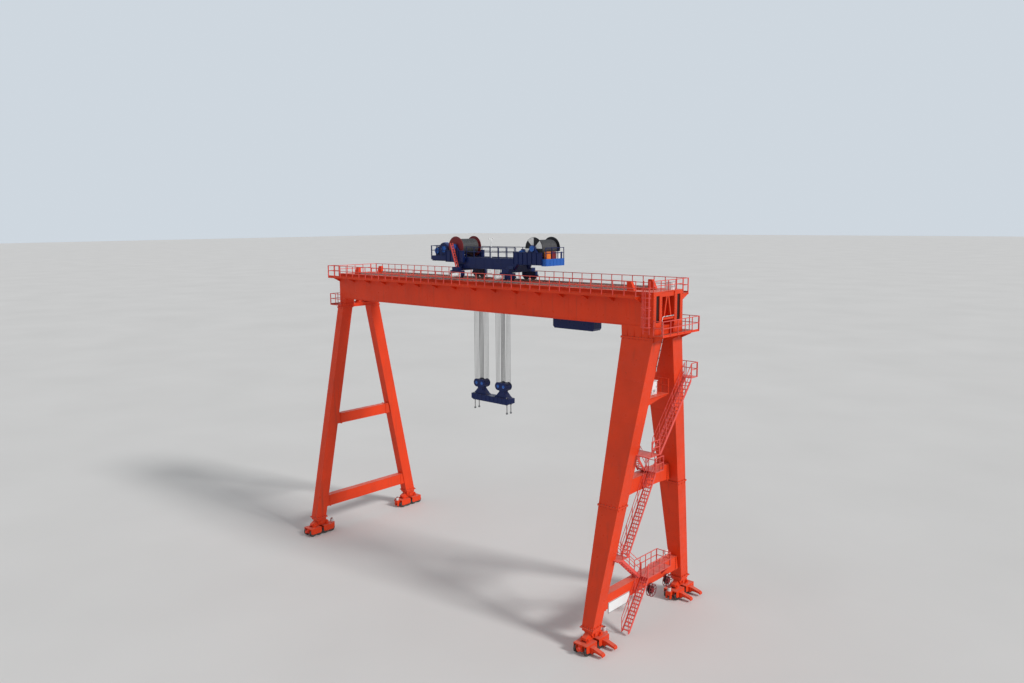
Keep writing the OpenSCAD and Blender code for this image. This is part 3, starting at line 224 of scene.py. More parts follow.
def paint(name, colour, dirt=(0.10, 0.06, 0.04), rough=0.42, streaks=0.45, dust=0.35):
    """Weathered machine paint: faded patches, rain streaks, dust on top, uneven gloss."""
    material, tree, shader = new_material(name)
    faded = tuple(c * fade_gain + fade_lift for c in colour)
    patches = mix(tree, ramp(tree, noise(tree, scale=0.45), 0.35, 0.7), colour, faded)
    streak = ramp(tree, noise(tree, scale=1.6, stretch=(1.6, 1.6, 0.08)), 0.56, 0.78, streaks)
    rain = multiply(tree, streak, ramp(tree, noise(tree, scale=0.25), 0.35, 0.65))
    streaked = mix(tree, rain, patches, dirt)
    specks = ramp(tree, noise(tree, scale=9.0, detail=8.0), 0.68, 0.74, 0.5)
    worn = mix(tree, specks, streaked, tuple(c * 0.55 for c in dirt))
    dusty = mix(tree, multiply(tree, top_dust(tree, dust), noise(tree, scale=1.2)), worn, dust_colour)
    tree.links.new(dusty, shader.inputs["Base Color"])
    uneven_gloss(tree, shader, 2.5, rough)
    shader.inputs["Specular IOR Level"].default_value = 0.2
    bump(tree, shader, noise(tree, scale=1.1), strength=0.12, distance=0.02)
    return material


def metal(name, colour, rough=0.4, metallic=0.9, grain=(1, 1, 1), rust=0.0):
    """Bare metal with a grain and patches of rust."""
    material, tree, shader = new_material(name)
    dark = tuple(c * 0.55 for c in colour)
    base = mix(tree, ramp(tree, noise(tree, 14.0, grain, 6.0), 0.3, 0.7), colour, dark)
    rusty = mix(tree, ramp(tree, noise(tree, scale=3.0), 0.5, 0.7, rust), base, rust_colour)
    tree.links.new(rusty, shader.inputs["Base Color"])
    uneven_gloss(tree, shader, 8.0, rough)
    shader.inputs["Metallic"].default_value = metallic
    bump(tree, shader, noise(tree, 30.0, grain), strength=0.15, distance=0.004)
    return material


def rope_metal(name):
    """Greased wire rope with slanting strands, the grooves between the strands painted darker as
    shade.
    """
    material, tree, shader = new_material(name)
    place = tree.nodes.new("ShaderNodeTexCoord")
    waves = tree.nodes.new("ShaderNodeTexWave")
    waves.bands_direction = "DIAGONAL"
    waves.inputs["Scale"].default_value = 12.0
    tree.links.new(place.outputs["Object"], waves.inputs["Vector"])
    # The wave bands mix the painted groove shade with the strand colour.
    colour = mix(tree, waves.outputs["Fac"], rope_groove_shade, rope_strand)
    tree.links.new(colour, shader.inputs["Base Color"])
    shader.inputs["Metallic"].default_value = 0.2
    shader.inputs["Roughness"].default_value = 0.6
    bump(tree, shader, waves.outputs["Fac"], strength=0.5, distance=0.006)
    return material


def grating(name, colour):
    """Deck grating: a mesh of bars with holes between them, the holes painted dark as shade seen
    through the grating.
    """
    material, tree, shader = new_material(name)
    place = tree.nodes.new("ShaderNodeTexCoord")
    bricks = tree.nodes.new("ShaderNodeTexBrick")
    bricks.offset = 0.0
    bricks.inputs["Scale"].default_value = 1.0
    bricks.inputs["Brick Width"].default_value = 0.10
    bricks.inputs["Row Height"].default_value = 0.06
    bricks.inputs["Mortar Size"].default_value = 0.010
    # Painted shade: the holes take dark copies of the bar colour.
    bricks.inputs["Color1"].default_value = (*tuple(c * 0.35 for c in colour), 1)
    bricks.inputs["Color2"].default_value = (*tuple(c * 0.30 for c in colour), 1)
    bricks.inputs["Mortar"].default_value = (*colour, 1)
    tree.links.new(place.outputs["Object"], bricks.inputs["Vector"])
    dirty = ramp(tree, noise(tree, scale=1.5), 0.4, 0.7, 0.35)
    dusty = mix(tree, dirty, bricks.outputs["Color"], deck_dust)
    tree.links.new(dusty, shader.inputs["Base Color"])
    shader.inputs["Roughness"].default_value = 0.6
    bump(tree, shader, bricks.outputs["Fac"], strength=0.6, distance=0.01)
    return material


orange = paint("orange", (0.80, 0.055, 0.012))
stair_red = paint("stair_red", (0.78, 0.10, 0.08), streaks=0.3)
navy = paint("navy", (0.008, 0.019, 0.100), dirt=(0.030, 0.030, 0.034), rough=0.36, dust=0.16)
blue = paint("blue", (0.025, 0.13, 0.50), dirt=(0.05, 0.04, 0.04), dust=0.25)
white = paint("white", (0.82, 0.83, 0.82), dirt=(0.32, 0.26, 0.20), dust=0.3)
maroon = paint("maroon", (0.20, 0.018, 0.022), dust=0.2)
black = paint("black", (0.012, 0.013, 0.018), dirt=(0.05, 0.04, 0.035), dust=0.2)
lamp_orange = paint("lamp_orange", (0.85, 0.22, 0.03), dust=0.1)
pad_red = paint("pad_red", (0.62, 0.03, 0.05), dust=0.15)
# Painted shade: the near black colour of the plates set inside the girder end slots.
painted_slot_shade = paint("painted_slot_shade", (0.035, 0.008, 0.006), dust=0.1)
rail_steel = metal("rail_steel", (0.50, 0.46, 0.43), 0.3, 0.75, (0.05, 4, 1), 0.12)
dark_steel = metal("dark_steel", (0.13, 0.125, 0.12), 0.5, 0.8, (1, 1, 1), 0.3)
bright_steel = metal("bright_steel", (0.55, 0.55, 0.55), 0.3, 1.0)
rod_steel = metal("rod_steel", (0.30, 0.30, 0.31), 0.35, 0.9)
rubber = metal("rubber", (0.02, 0.02, 0.02), 0.8, 0.0)
rope = rope_metal("rope")
orange_grating = grating("orange_grating", (0.62, 0.075, 0.03))
navy_grating = grating("navy_grating", (0.03, 0.05, 0.16))

node_looks = {
    orange: ["front_girder", "back_girder", "near_end_frame", "far_end_frame", "rail_end_stops",
             "front_walkway", "back_walkway", "near_head_platform", "far_head_platform",
             "rigid_leg_saddle", "rigid_leg_left", "rigid_leg_right", "rigid_leg_tie",
             "rigid_leg_sill", "flexible_leg_saddle", "flexible_leg_left", "flexible_leg_right",
             "flexible_leg_tie", "flexible_leg_sill", "near_left_bogie", "near_right_bogie",
             "far_left_bogie", "far_right_bogie", "near_drives", "far_drives", "cabinet_bracket"],
    stair_red: ["front_railing", "back_railing", "end_railings", "head_railings", "caged_ladder",
                "stair_sides", "stair_treads", "stair_landings", "landing_railings",
                "upper_ladder", "trolley_ladder"],
    navy: ["underslung_housing", "trolley_frame", "trolley_bogies", "left_winch", "right_winch",
           "trolley_railings", "spreader_beam", "pulley_blocks"],
    white: ["electrical_cabinets", "panel_board", "mast", "trolley_drives"],
    maroon: ["cable_reels", "left_drum"],
    black: ["right_drum"],
    rail_steel: ["trolley_rails"],
    dark_steel: ["near_wheels", "far_wheels", "trolley_wheels", "upper_pulleys"],
    rod_steel: ["lifting_rods"],
}


def soften(thing, width):
    """Rounds a piece's hard edges."""
    rounding = thing.modifiers.new("edges", "BEVEL")
    rounding.width = width
    rounding.segments = 2
    rounding.limit_method = "ANGLE"
    rounding.angle_limit = math.radians(40)


def dress(look, names):
    """Gives CAD nodes their look and soft edges."""
    for name in names:
        thing = nodes[name]
        thing.data.materials.clear()
        thing.data.materials.append(look)
        soften(thing, width=0.012)


# A mesh built up from simple forms, and made into one piece at the end

def turn(n):
    """The angles of n places evenly spaced round a circle."""
    return [2 * math.pi * k / n for k in range(n)]


def spaced(a, b, pitch):
    """Evenly spaced places from a to b, no further apart than pitch."""
    n = max(1, math.ceil((b - a) / pitch))
    return [a + (b - a) * i / n for i in range(n + 1)]


def panels(a, b, pitch, joint=0.01):
    """The ends of deck panels from a to b, each cut back by joint."""
    edges = spaced(a, b, pitch)
    return [(u + joint, v - joint) for u, v in zip(edges, edges[1:])]


class Shape:
    def __init__(self):
        self.points = []
        self.faces = []

    def add(self, points, faces):
        first = len(self.points)
        self.points += [tuple(p) for p in points]
        self.faces += [[first + i for i in face] for face in faces]

    def box(self, x0, x1, y0, y1, z0, z1):
        corners = [(x, y, z) for x in (x0, x1) for y in (y0, y1) for z in (z0, z1)]
        self.add(corners, [(0, 1, 3, 2), (4, 6, 7, 5), (0, 4, 5, 1),
                           (2, 3, 7, 6), (0, 2, 6, 4), (1, 5, 7, 3)])

    def rings(self, rows, closed=False):
        """Joins rows of points, each a closed loop, into a skin with flat ends."""
        n = len(rows[0])
        points = [p for row in rows for p in row]
        faces = []
        for i in range(len(rows) - (0 if closed else 1)):
            a, b = i * n, (i + 1) % len(rows) * n
            faces += [(a + j, a + (j + 1) % n, b + (j + 1) % n, b + j) for j in range(n)]
        if not closed:
            faces += [tuple(reversed(range(n))), tuple(range((len(rows) - 1) * n, len(rows) * n))]
        self.add(points, faces)

    def lathe(self, centre, axis, profile, n=24):
        """Turns (radius, place along the axis) points round an axis through centre."""
        along = Vector(axis).normalized()
        side = along.orthogonal().normalized()
        other = along.cross(side)
        rows = []
        for radius, place in profile:
            rows.append([Vector(centre) + along * place
                         + (side * math.cos(a) + other * math.sin(a)) * radius for a in turn(n)])
        self.rings(rows)

    def disc(self, at, axis, r, low, high, n):
        """A round plate from low to high along the axis."""
        self.lathe(at, axis, [(r, low), (r, high)], n)

    def cap(self, at, axis, big, small, rim, top, n):
        """A round cover with a rim of one radius and a flat top of another."""
        self.lathe(at, axis, [(big, 0), (big, rim), (small, top)], n)

    def rod(self, a, b, r, n=8):
        a, b = Vector(a), Vector(b)
        self.disc(a, b - a, r, 0, (b - a).length, n)

    def bolt(self, at, axis, r=0.022, h=0.022):
        """A hexagon head with a washer, standing on a face."""
        self.lathe(at, axis, [(r * 1.5, 0), (r * 1.5, h * 0.2), (r, h * 0.2), (r, h)], 6)

    def bolt_ring(self, centre, axis, ring, count, r, h):
        """Bolt heads on a circle of radius ring, about an axis along X or Y."""
        x, y, z = centre
        for a in turn(count):
            u, v = ring * math.cos(a), ring * math.sin(a)
            self.bolt((x, y + u, z + v) if axis[0] else (x + u, y, z + v), axis, r, h)

    def tube(self, route, r, n):
        """A round tube along a list of points."""
        route = [Vector(p) for p in route]
        rows = []
        side = (route[1] - route[0]).orthogonal().normalized()
        for i, p in enumerate(route):
            ahead = route[min(i + 1, len(route) - 1)] - route[max(i - 1, 0)]
            along = ahead.normalized()
            side = (side - along * side.dot(along)).normalized()
            other = along.cross(side)
            rows.append([p + (side * math.cos(a) + other * math.sin(a)) * r for a in turn(n)])
        self.rings(rows)

    def torus(self, centre, axis, big, small, n, m):
        along = Vector(axis).normalized()
        side = along.orthogonal().normalized()
        other = along.cross(side)
        rows = []
        for a in turn(n):
            out = side * math.cos(a) + other * math.sin(a)
            rows.append([Vector(centre) + out * (big + small * math.cos(b))
                         + along * small * math.sin(b) for b in turn(m)])
        self.rings(rows, closed=True)

    def mirrored(self):
        """A copy of all so far, on the other side of the crane's long middle plane."""
        points = [(x, -y, z) for x, y, z in self.points]
        self.add(points, [tuple(reversed(face)) for face in self.faces])

    def make(self, name, look, body="root", edge=0.0):
        mesh = bpy.data.meshes.new(name)
        mesh.from_pydata(self.points, [], self.faces)
        mesh.validate()
        mesh.polygons.foreach_set("use_smooth", [True] * len(mesh.polygons))
        mesh.set_sharp_from_angle(angle=math.radians(35))
        mesh.materials.append(look)
        thing = bpy.data.objects.new(name, mesh)
        bpy.context.scene.collection.objects.link(thing)
        if edge:
            soften(thing, edge)
        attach(thing, body)


# Camera, light and floor

def photo_camera():
    """The photograph's own viewpoint, found from the crane's straight edges."""
    place = Vector((50.78, -51.90, 30.86))
    yaw, pitch, roll = (math.radians(a) for a in (42.577, 8.21, -0.41))
    forward = Vector((-math.sin(yaw) * math.cos(pitch), math.cos(yaw) * math.cos(pitch),
                      -math.sin(pitch)))
    level = Vector((math.cos(yaw), math.sin(yaw), 0))
    rise = level.cross(forward)
    right = level * math.cos(roll) + rise * math.sin(roll)
    up = rise * math.cos(roll) - level * math.sin(roll)
    camera = bpy.data.cameras.new("camera")
    camera.lens = 29.41
    camera.sensor_width = 36
    camera.clip_end = 4000
    thing = bpy.data.objects.new("camera", camera)
    axes = Matrix((right, up, -forward)).transposed()
    thing.matrix_world = Matrix.Translation(place) @ axes.to_4x4()
    bpy.context.scene.collection.objects.link(thing)
    bpy.context.scene.camera = thing


def sky():
    """Soft even light, with a pale blue backdrop for the camera and for reflections."""
    world = bpy.data.worlds.new("studio")
    world.use_nodes = True
    tree = world.node_tree
    light = tree.nodes["Background"]
    light.inputs["Color"].default_value = (0.88, 0.91, 0.96, 1)
    light.inputs["Strength"].default_value = 0.42
    backdrop = tree.nodes.new("ShaderNodeBackground")
    backdrop.inputs["Color"].default_value = (0.62, 0.68, 0.74, 1)
    seen = tree.nodes.new("ShaderNodeLightPath")
    either = tree.nodes.new("ShaderNodeMath")
    either.operation = "MAXIMUM"
    tree.links.new(seen.outputs["Is Camera Ray"], either.inputs[0])
    tree.links.new(seen.outputs["Is Glossy Ray"], either.inputs[1])
    choose = tree.nodes.new("ShaderNodeMixShader")
    tree.links.new(either.outputs[0], choose.inputs[0])
    tree.links.new(light.outputs[0], choose.inputs[1])
    tree.links.new(backdrop.outputs[0], choose.inputs[2])
    tree.links.new(choose.outputs[0], tree.nodes["World Output"].inputs["Surface"])
    bpy.context.scene.world = world


def lamps():
    """A soft key from the near end and a weak fill from the front."""
    for name, place, power, spread in (("key", (60, 10, 42), 2.3, 12),
                                       ("fill", (-20, -60, 40), 0.3, 60)):
        light = bpy.data.lights.new(name, "SUN")
        light.energy = power
        light.angle = math.radians(spread)
        lamp = bpy.data.objects.new(name, light)
        lamp.rotation_euler = Vector(place).to_track_quat("Z", "Y").to_euler()
        bpy.context.scene.collection.objects.link(lamp)


def pale_floor():
    mesh = bpy.data.meshes.new("floor")
    far = 1500
    mesh.from_pydata([(-far, -far, 0), (far, -far, 0), (far, far, 0), (-far, far, 0)], [],
                     [(0, 1, 2, 3)])
    floor = bpy.data.objects.new("floor", mesh)
    look, tree, shader = new_material("floor")
    cloudy = ramp(tree, noise(tree, scale=0.05), 0.3, 0.7)
    shade = mix(tree, cloudy, (0.70, 0.69, 0.67), (0.66, 0.65, 0.63))
    tree.links.new(shade, shader.inputs["Base Color"])
    shader.inputs["Roughness"].default_value = 0.85
    mesh.materials.append(look)
    bpy.context.scene.collection.objects.link(floor)


# Root body: bolts, seams, gratings and fittings on the steelwork

def flange_bolts(shape, x0, x1, y0, y1, z, up, pitch=0.26):
    """Bolt heads round a level rectangular flange."""
    for x in spaced(x0, x1, pitch):
        shape.bolt((x, y0, z), (0, 0, up))
        shape.bolt((x, y1, z), (0, 0, up))
    for y in spaced(y0, y1, pitch)[1:-1]:
        shape.bolt((x0, y, z), (0, 0, up))
        shape.bolt((x1, y, z), (0, 0, up))


def leg_bolts():
    """Bolts round the flanges at the legs' feet, splices and heads."""
    shape = Shape()
    m = plate_out / 2
    for z, up in rigid_flanges:
        y, w = rigid_mid(z), rigid_wide(z) / 2
        flange_bolts(shape, rigid_in - m, rigid_out(z) + m, y - w - m, y + w + m, z, up)
    y, w = rigid_head_y, rigid_head_w / 2
    flange_bolts(shape, rigid_in - m, half + m, y - w - m, y + w + m, head_z + plate_t, 1)
    for z, up in flex_flanges:
        y, w = flex_mid(z), flex_w / 2
        flange_bolts(shape, flex_out - m, flex_out + flex_d + m, y - w - m, y + w + m, z, up)
    shape.mirrored()
    shape.make("leg_flange_bolts", dark_steel)


def leg_seams():
    """Weld seams round the legs where plates meet."""
    shape = Shape()
    proud, e = 0.008, 0.014
    for z in (4.6, 7.5, 13.4, 16.4, 19.4):
        y, w = rigid_mid(z), rigid_wide(z) / 2 + proud
        shape.box(rigid_in - proud, rigid_out(z) + proud, y - w, y + w, z - e, z + e)
    for z in (5.2, 8.7, 14.2, 18.0):
        y, w = flex_mid(z), flex_w / 2 + proud
        shape.box(flex_out - proud, flex_out + flex_d + proud, y - w, y + w, z - e, z + e)
    shape.mirrored()
    shape.make("leg_weld_seams", orange)


def flange_ribs():
    """Small triangular gussets on the rigid legs, above and below the bolted flanges."""
    shape = Shape()
    half_t, rise, out = 0.008, 0.22, plate_out - 0.006
    pitch, side_margin, end_margin = 0.52, 0.15, 0.13

    def gusset(x, y, z, dx, dy, up):
        side = Vector((dy, dx, 0)) * half_t
        root = Vector((x, y, z))
        outer = root + Vector((dx, dy, 0)) * out
        tip = root + Vector((0, 0, up * rise))
        shape.rings([[root - side, outer - side, tip - side],
                     [root + side, outer + side, tip + side]])

    for z, up in rigid_flanges:
        y, w = rigid_mid(z), rigid_wide(z) / 2
        for x in spaced(rigid_in + side_margin, rigid_out(z) - side_margin, pitch):
            gusset(x, y + w, z, 0, 1, up)
            gusset(x, y - w, z, 0, -1, up)
        for along in spaced(y - w + end_margin, y + w - end_margin, pitch):
            gusset(rigid_out(z), along, z, 1, 0, up)
            gusset(rigid_in, along, z, -1, 0, up)
    shape.mirrored()
    shape.make("flange_gussets", orange)


def girder_seams():
    """Upright weld seams on the webs, and one along the bottom flange."""
    shape = Shape()
    e, proud, low = 0.012, 0.006, girder_z + 0.04
    under_walk = walk_z - 0.53
    inner = in_y + web_in
    for x in spaced(-half + 2.3, half - 2.3, 2.7):
        shape.box(x - e, x + e, web_y, web_y + proud, low, under_walk)
        shape.box(x - e, x + e, inner - proud, inner, low, girder_top - 0.04)
    shape.box(-half + 0.01, half - 0.01, web_y, web_y + 0.01, low, low + e)
    shape.mirrored()
    shape.make("girder_weld_seams", orange)


def end_bolts():
    """Bolts on the girders' ends."""
    shape = Shape()
    in_from_edge = 0.1
    for s in (-1, 1):
        for z in spaced(girder_z + 0.12, girder_top - 0.12, 0.22):
            for y in (in_y + in_from_edge, out_y - in_from_edge):
                shape.bolt((s * half, y, z), (s, 0, 0), 0.016, 0.016)
    shape.mirrored()
    shape.make("girder_end_bolts", dark_steel)


def tie_bolts():
    """Bolts on the flanges of the rigid legs' tie and sill."""
    shape = Shape()
    pitch, low_margin, top_margin = 0.17, 0.10, 0.08
    tie_lo, tie_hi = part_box("rigid_leg_tie")
    stub = 0.56
    y = rigid_mid(tie_z) - rigid_wide(tie_z) / 2 - stub
    for z in spaced(tie_lo[2] + low_margin, tie_hi[2] - top_margin, pitch):
        for x in (tie_lo[0] + 0.03, tie_hi[0] - 0.03):
            shape.bolt((x, y, z), (0, -1, 0), 0.018, 0.02)
            shape.bolt((x, y + 2 * plate_t, z), (0, 1, 0), 0.018, 0.02)
    sill_lo, sill_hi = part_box("rigid_leg_sill")
    inside_leg, stub = 0.3, 0.8
    y = rigid_mid(sill_z) - rigid_wide(sill_z) / 2 + inside_leg - stub
    for z in spaced(sill_lo[2] + low_margin, sill_hi[2] - top_margin, pitch):
        for x in (sill_lo[0] + 0.02, sill_hi[0] - 0.02):
            shape.bolt((x, y, z), (0, -1, 0), 0.016, 0.018)
    shape.mirrored()
    shape.make("tie_and_sill_bolts", dark_steel)


def end_slot_shades():
    """Dark plates just inside the tall slots at the near end of the girders, painted shade standing
    in for the dark inside of the box girders.
    """
    y, z = (in_y + out_y) / 2, (girder_z + girder_top) / 2
    w, h, front, back = 0.22, 0.955, half - 0.07, half - 0.08
    shape = Shape()
    shape.box(back, front, y - w, y + w, z - h, z + h)
    shape.mirrored()
    shape.make("end_slot_shades", painted_slot_shade)


def feed_cable():
    """The pale cable clipped along the near end's brace and down the left leg to the cabinets."""
    cab_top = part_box("electrical_cabinets")[0][2] + cabinet_h
    bar_z = girder_z + 0.68
    off, turn_y = 0.035, -in_y - 0.07

    def edge(z):
        """The line of the cable on the left leg's outer face, near its inner edge."""
        return -(rigid_mid(z) - rigid_wide(z) / 2) - 0.07

    route = [(half + off, y, bar_z) for y in (in_y - 0.1, 0.3, 0.0, -0.3, -in_y + 0.1)]
    route += [(half + off, -in_y - 0.02, bar_z - 0.06), (half + off, turn_y, bar_z - 0.25)]
    route += [(half + off, turn_y, z) for z in (girder_z + 0.2, girder_z - 0.3, head_z + 0.2)]
    route += [(rigid_out(z) + off, edge(z), z) for z in spaced(head_z - 0.1, cab_top + 1.1, 0.4)]
    z = cab_top + 1.0
    x, y = rigid_out(z), edge(z)
    route += [(x + 0.02, y + 0.09, z - 0.03), (x - 0.08, y + 0.105, z - 0.12),
              (x - 0.4, y + 0.12, z - 0.4), (rigid_in + 1.5, y + 0.2, cab_top + 0.3),
              (rigid_in + 1.42, y + 0.3, cab_top)]
    cable = Shape()
    cable.tube(route, 0.024, 10)
    cable.make("feed_cable", white)

    clips = Shape()
    root, out, w, h = 0.003, 0.07, 0.045, 0.02
    for z in spaced(cab_top + 1.3, head_z - 0.3, 0.8):
        clips.box(rigid_out(z) - root, rigid_out(z) + out, edge(z) - w, edge(z) + w, z - h, z + h)
    for y in (-0.45, 0.0, 0.45):
        clips.box(half - root, half + out, y - h, y + h, bar_z - w, bar_z + w)
    clips.make("feed_cable_clips", dark_steel)


def sill_lamp():
    """Floodlight on a short post at the right end of the sill."""
    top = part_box("rigid_leg_sill")[1][2]
    x, y = rigid_in + 0.25, 4.2
    foot, lamp_x, lamp_y = 0.08, 0.13, 0.2
    post = Shape()
    post.rod((x, y, top - 0.01), (x, y, top + 0.35), 0.035, 12)
    post.box(x - foot, x + foot, y - foot, y + foot, top - 0.002, top + 0.02)
    post.make("sill_lamp_post", black)
    lamp = Shape()
    lamp.box(x - lamp_x, x + lamp_x, y - lamp_y, y + lamp_y, top + 0.33, top + 0.63)
    lamp.make("sill_lamp", white, edge=0.02)


def deck_sheets():
    """Grating on the walkways and platforms, in panels with narrow joints."""
    shape = Shape()
    proud, rim = 0.006, 0.06
    top = platform_z + proud
    for sign, lo, hi in ((1, walk_lo, walk_hi), (-1, front_walk_lo, front_walk_hi)):
        y0, y1 = sorted((sign * (web_y + 0.03), sign * (walk_y - rim)))
        for a, b in panels(lo[0] + 0.02, hi[0] - 0.02, 2.0):
            shape.box(a, b, y0, y1, walk_z, walk_z + proud)
    near_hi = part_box("near_head_platform")[1]
    for a, b in panels(-out_y, near_hi[1] - rim, 1.0):
        shape.box(half + 0.03, near_hi[0] - rim, a, b, platform_z, top)
    shape.box(rigid_in + 0.25, half, out_y + 0.02, near_hi[1] - rim, platform_z, top)
    far_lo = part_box("far_head_platform")[0]
    for a, b in panels(far_lo[1] + rim, out_y - 0.03, 1.0):
        shape.box(far_lo[0] + rim, flex_out - 0.08, a, b, platform_z, top)
    shape.make("platform_grating", orange_grating)


def toe_boards():
    """Thin upright boards inside the railings' feet."""
    shape = Shape()
    t, h, inside, rim = 0.006, 0.11, 0.052, 0.06
    y = walk_y - inside
    shape.box(walk_lo[0], walk_hi[0], y - t, y, walk_z, walk_z + h)
    shape.box(front_walk_lo[0], front_walk_hi[0], -y, -y + t, walk_z, walk_z + h)
    near_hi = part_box("near_head_platform")[1]
    x = near_hi[0] - inside
    shape.box(x - t, x, -out_y, near_hi[1] - rim, platform_z, platform_z + h)
    far_lo, far_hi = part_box("far_head_platform")
    x = far_lo[0] + inside
    shape.box(x, x + t, far_lo[1] + rim, far_hi[1], platform_z, platform_z + h)
    shape.make("toe_boards", orange)


def rail_clips():
    """Clips and bolts that hold the trolley rails."""
    shape = Shape()
    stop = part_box("trolley_rails")[1][0]
    beside, clip_x, clip_y, clip_h = 0.115, 0.05, 0.035, 0.03
    for x in spaced(-stop + 0.2, stop - 0.2, 0.75):
        for s in (-1, 1):
            y, top = girder_y + s * beside, girder_top + clip_h
            shape.box(x - clip_x, x + clip_x, y - clip_y, y + clip_y, girder_top, top)
            shape.bolt((x, y, top), (0, 0, 1), 0.016, 0.018)
    shape.mirrored()
    shape.make("rail_clips", orange)


def cable_runs():
    """Conduits with clips, under the back walkway and down the left rigid leg."""
    shape = Shape()
    r, count, e = 0.018, 3, 0.02
    z = girder_top - 0.16
    for k in range(count):
        y = web_y + 0.05 + 0.05 * k
        shape.rod((-half + 0.4, y, z), (half - 0.4, y, z), r)
    for x in spaced(-half + 0.5, half - 0.5, 1.5):
        shape.box(x - e, x + e, web_y, web_y + 0.19, z - 0.045, z - e)

    def face(z):
        """The left leg's inner face."""
        return -(rigid_mid(z) - rigid_wide(z) / 2)

    low, top = 4.2, 22.2
    for k in range(count):
        x = rigid_in + 0.5 + 0.06 * k
        shape.rod((x, face(low) + 0.03, low), (x, face(top) + 0.03, top), r)
    for z in spaced(4.6, 21.8, 1.4):
        shape.box(rigid_in + 0.45, rigid_in + 0.67, face(z) - e, face(z) + 0.055, z - e, z + e)
    shape.make("conduits", black)


def cabinet_details():
    """Door gaps, hinges, handles and louvres on the white cabinets."""
    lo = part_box("electrical_cabinets")[0]
    x = rigid_in + 1.05 + 0.7
    first_y, z0 = lo[1] + 0.03, lo[2]
    door_pitch, door_w, door_low, door_top = 0.73, 0.69, z0 + 0.06, z0 + 0.93
    gap, gap_h, gap_w, gap_out = 0.004, 0.008, 0.18, 0.003
    dark, bright = Shape(), Shape()
    for i in range(2):
        a = first_y + 0.04 + door_pitch * i
        b = a + door_w
        dark.box(x, x + gap_out, a, b, door_low, door_low + gap_h)
        dark.box(x, x + gap_out, a, b, door_top - gap_h, door_top)
        for y in (a, b):
            dark.box(x, x + gap_out, y - gap, y + gap, door_low, door_top)
        for z in (z0 + 0.16 + 0.035 * k for k in range(6)):
            dark.box(x, x + 0.006, a + gap_w, b - gap_w, z, z + 0.012)
        bright.box(x, x + 0.03, b - 0.10, b - 0.07, z0 + 0.48, z0 + 0.62)
        for z in (z0 + 0.2, z0 + 0.78):
            bright.rod((x + 0.01, a + 0.01, z - 0.04), (x + 0.01, a + 0.01, z + 0.04), 0.012)
    x, y, reach = half - 0.3, 1.05, 0.2
    for side in (y - reach, y + reach):
        dark.box(x, x + gap_out, side - gap, side + gap, girder_top + 0.05, girder_top + 0.52)
    bright.box(x, x + 0.025, 1.18, 1.2, girder_top + 0.24, girder_top + 0.34)
    dark.make("cabinet_gaps", black)
    bright.make("cabinet_handles", bright_steel)


def panel_frame():
    """A thin frame with rivets round the blank white board."""
    lo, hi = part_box("panel_board")
    x, y0, y1, z0, z1 = hi[0], lo[1], hi[1], lo[2], hi[2]
    w, t = 0.03, 0.008
    shape = Shape()
    shape.box(x, x + t, y0, y1, z0, z0 + w)
    shape.box(x, x + t, y0, y1, z1 - w, z1)
    shape.box(x, x + t, y0, y0 + w, z0, z1)
    shape.box(x, x + t, y1 - w, y1, z0, z1)
    for y in spaced(y0 + 0.1, y1 - 0.1, 0.5):
        for z in (z0 + w / 2, z1 - w / 2):
            shape.bolt((x + t, y, z), (1, 0, 0), 0.008, 0.008)
    shape.make("panel_frame", bright_steel)


def reel_cable():
    """Cable wound on the two reels, and the bolts of their hubs."""
    x1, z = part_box("cable_reels")[1][0], box_middle("cable_reels", 2)
    x0 = x1 - 0.12 - 0.26 + 0.025 + 0.02
    layers, turns, pitch, rise, first_r = 3, 6, 0.037, 0.035, 0.22
    cable, bolts = Shape(), Shape()
    for y in reel_places:
        for layer in range(layers):
            for k in range(turns):
                place = (x0 + pitch * (k + 0.5), y, z)
                cable.torus(place, (1, 0, 0), first_r + rise * layer, 0.019, 28, 6)
        bolts.bolt_ring((x1 - 0.095, y, z), (1, 0, 0), 0.14, 8, 0.014, 0.014)
    cable.make("reel_cable", black)
    bolts.make("reel_bolts", bright_steel)


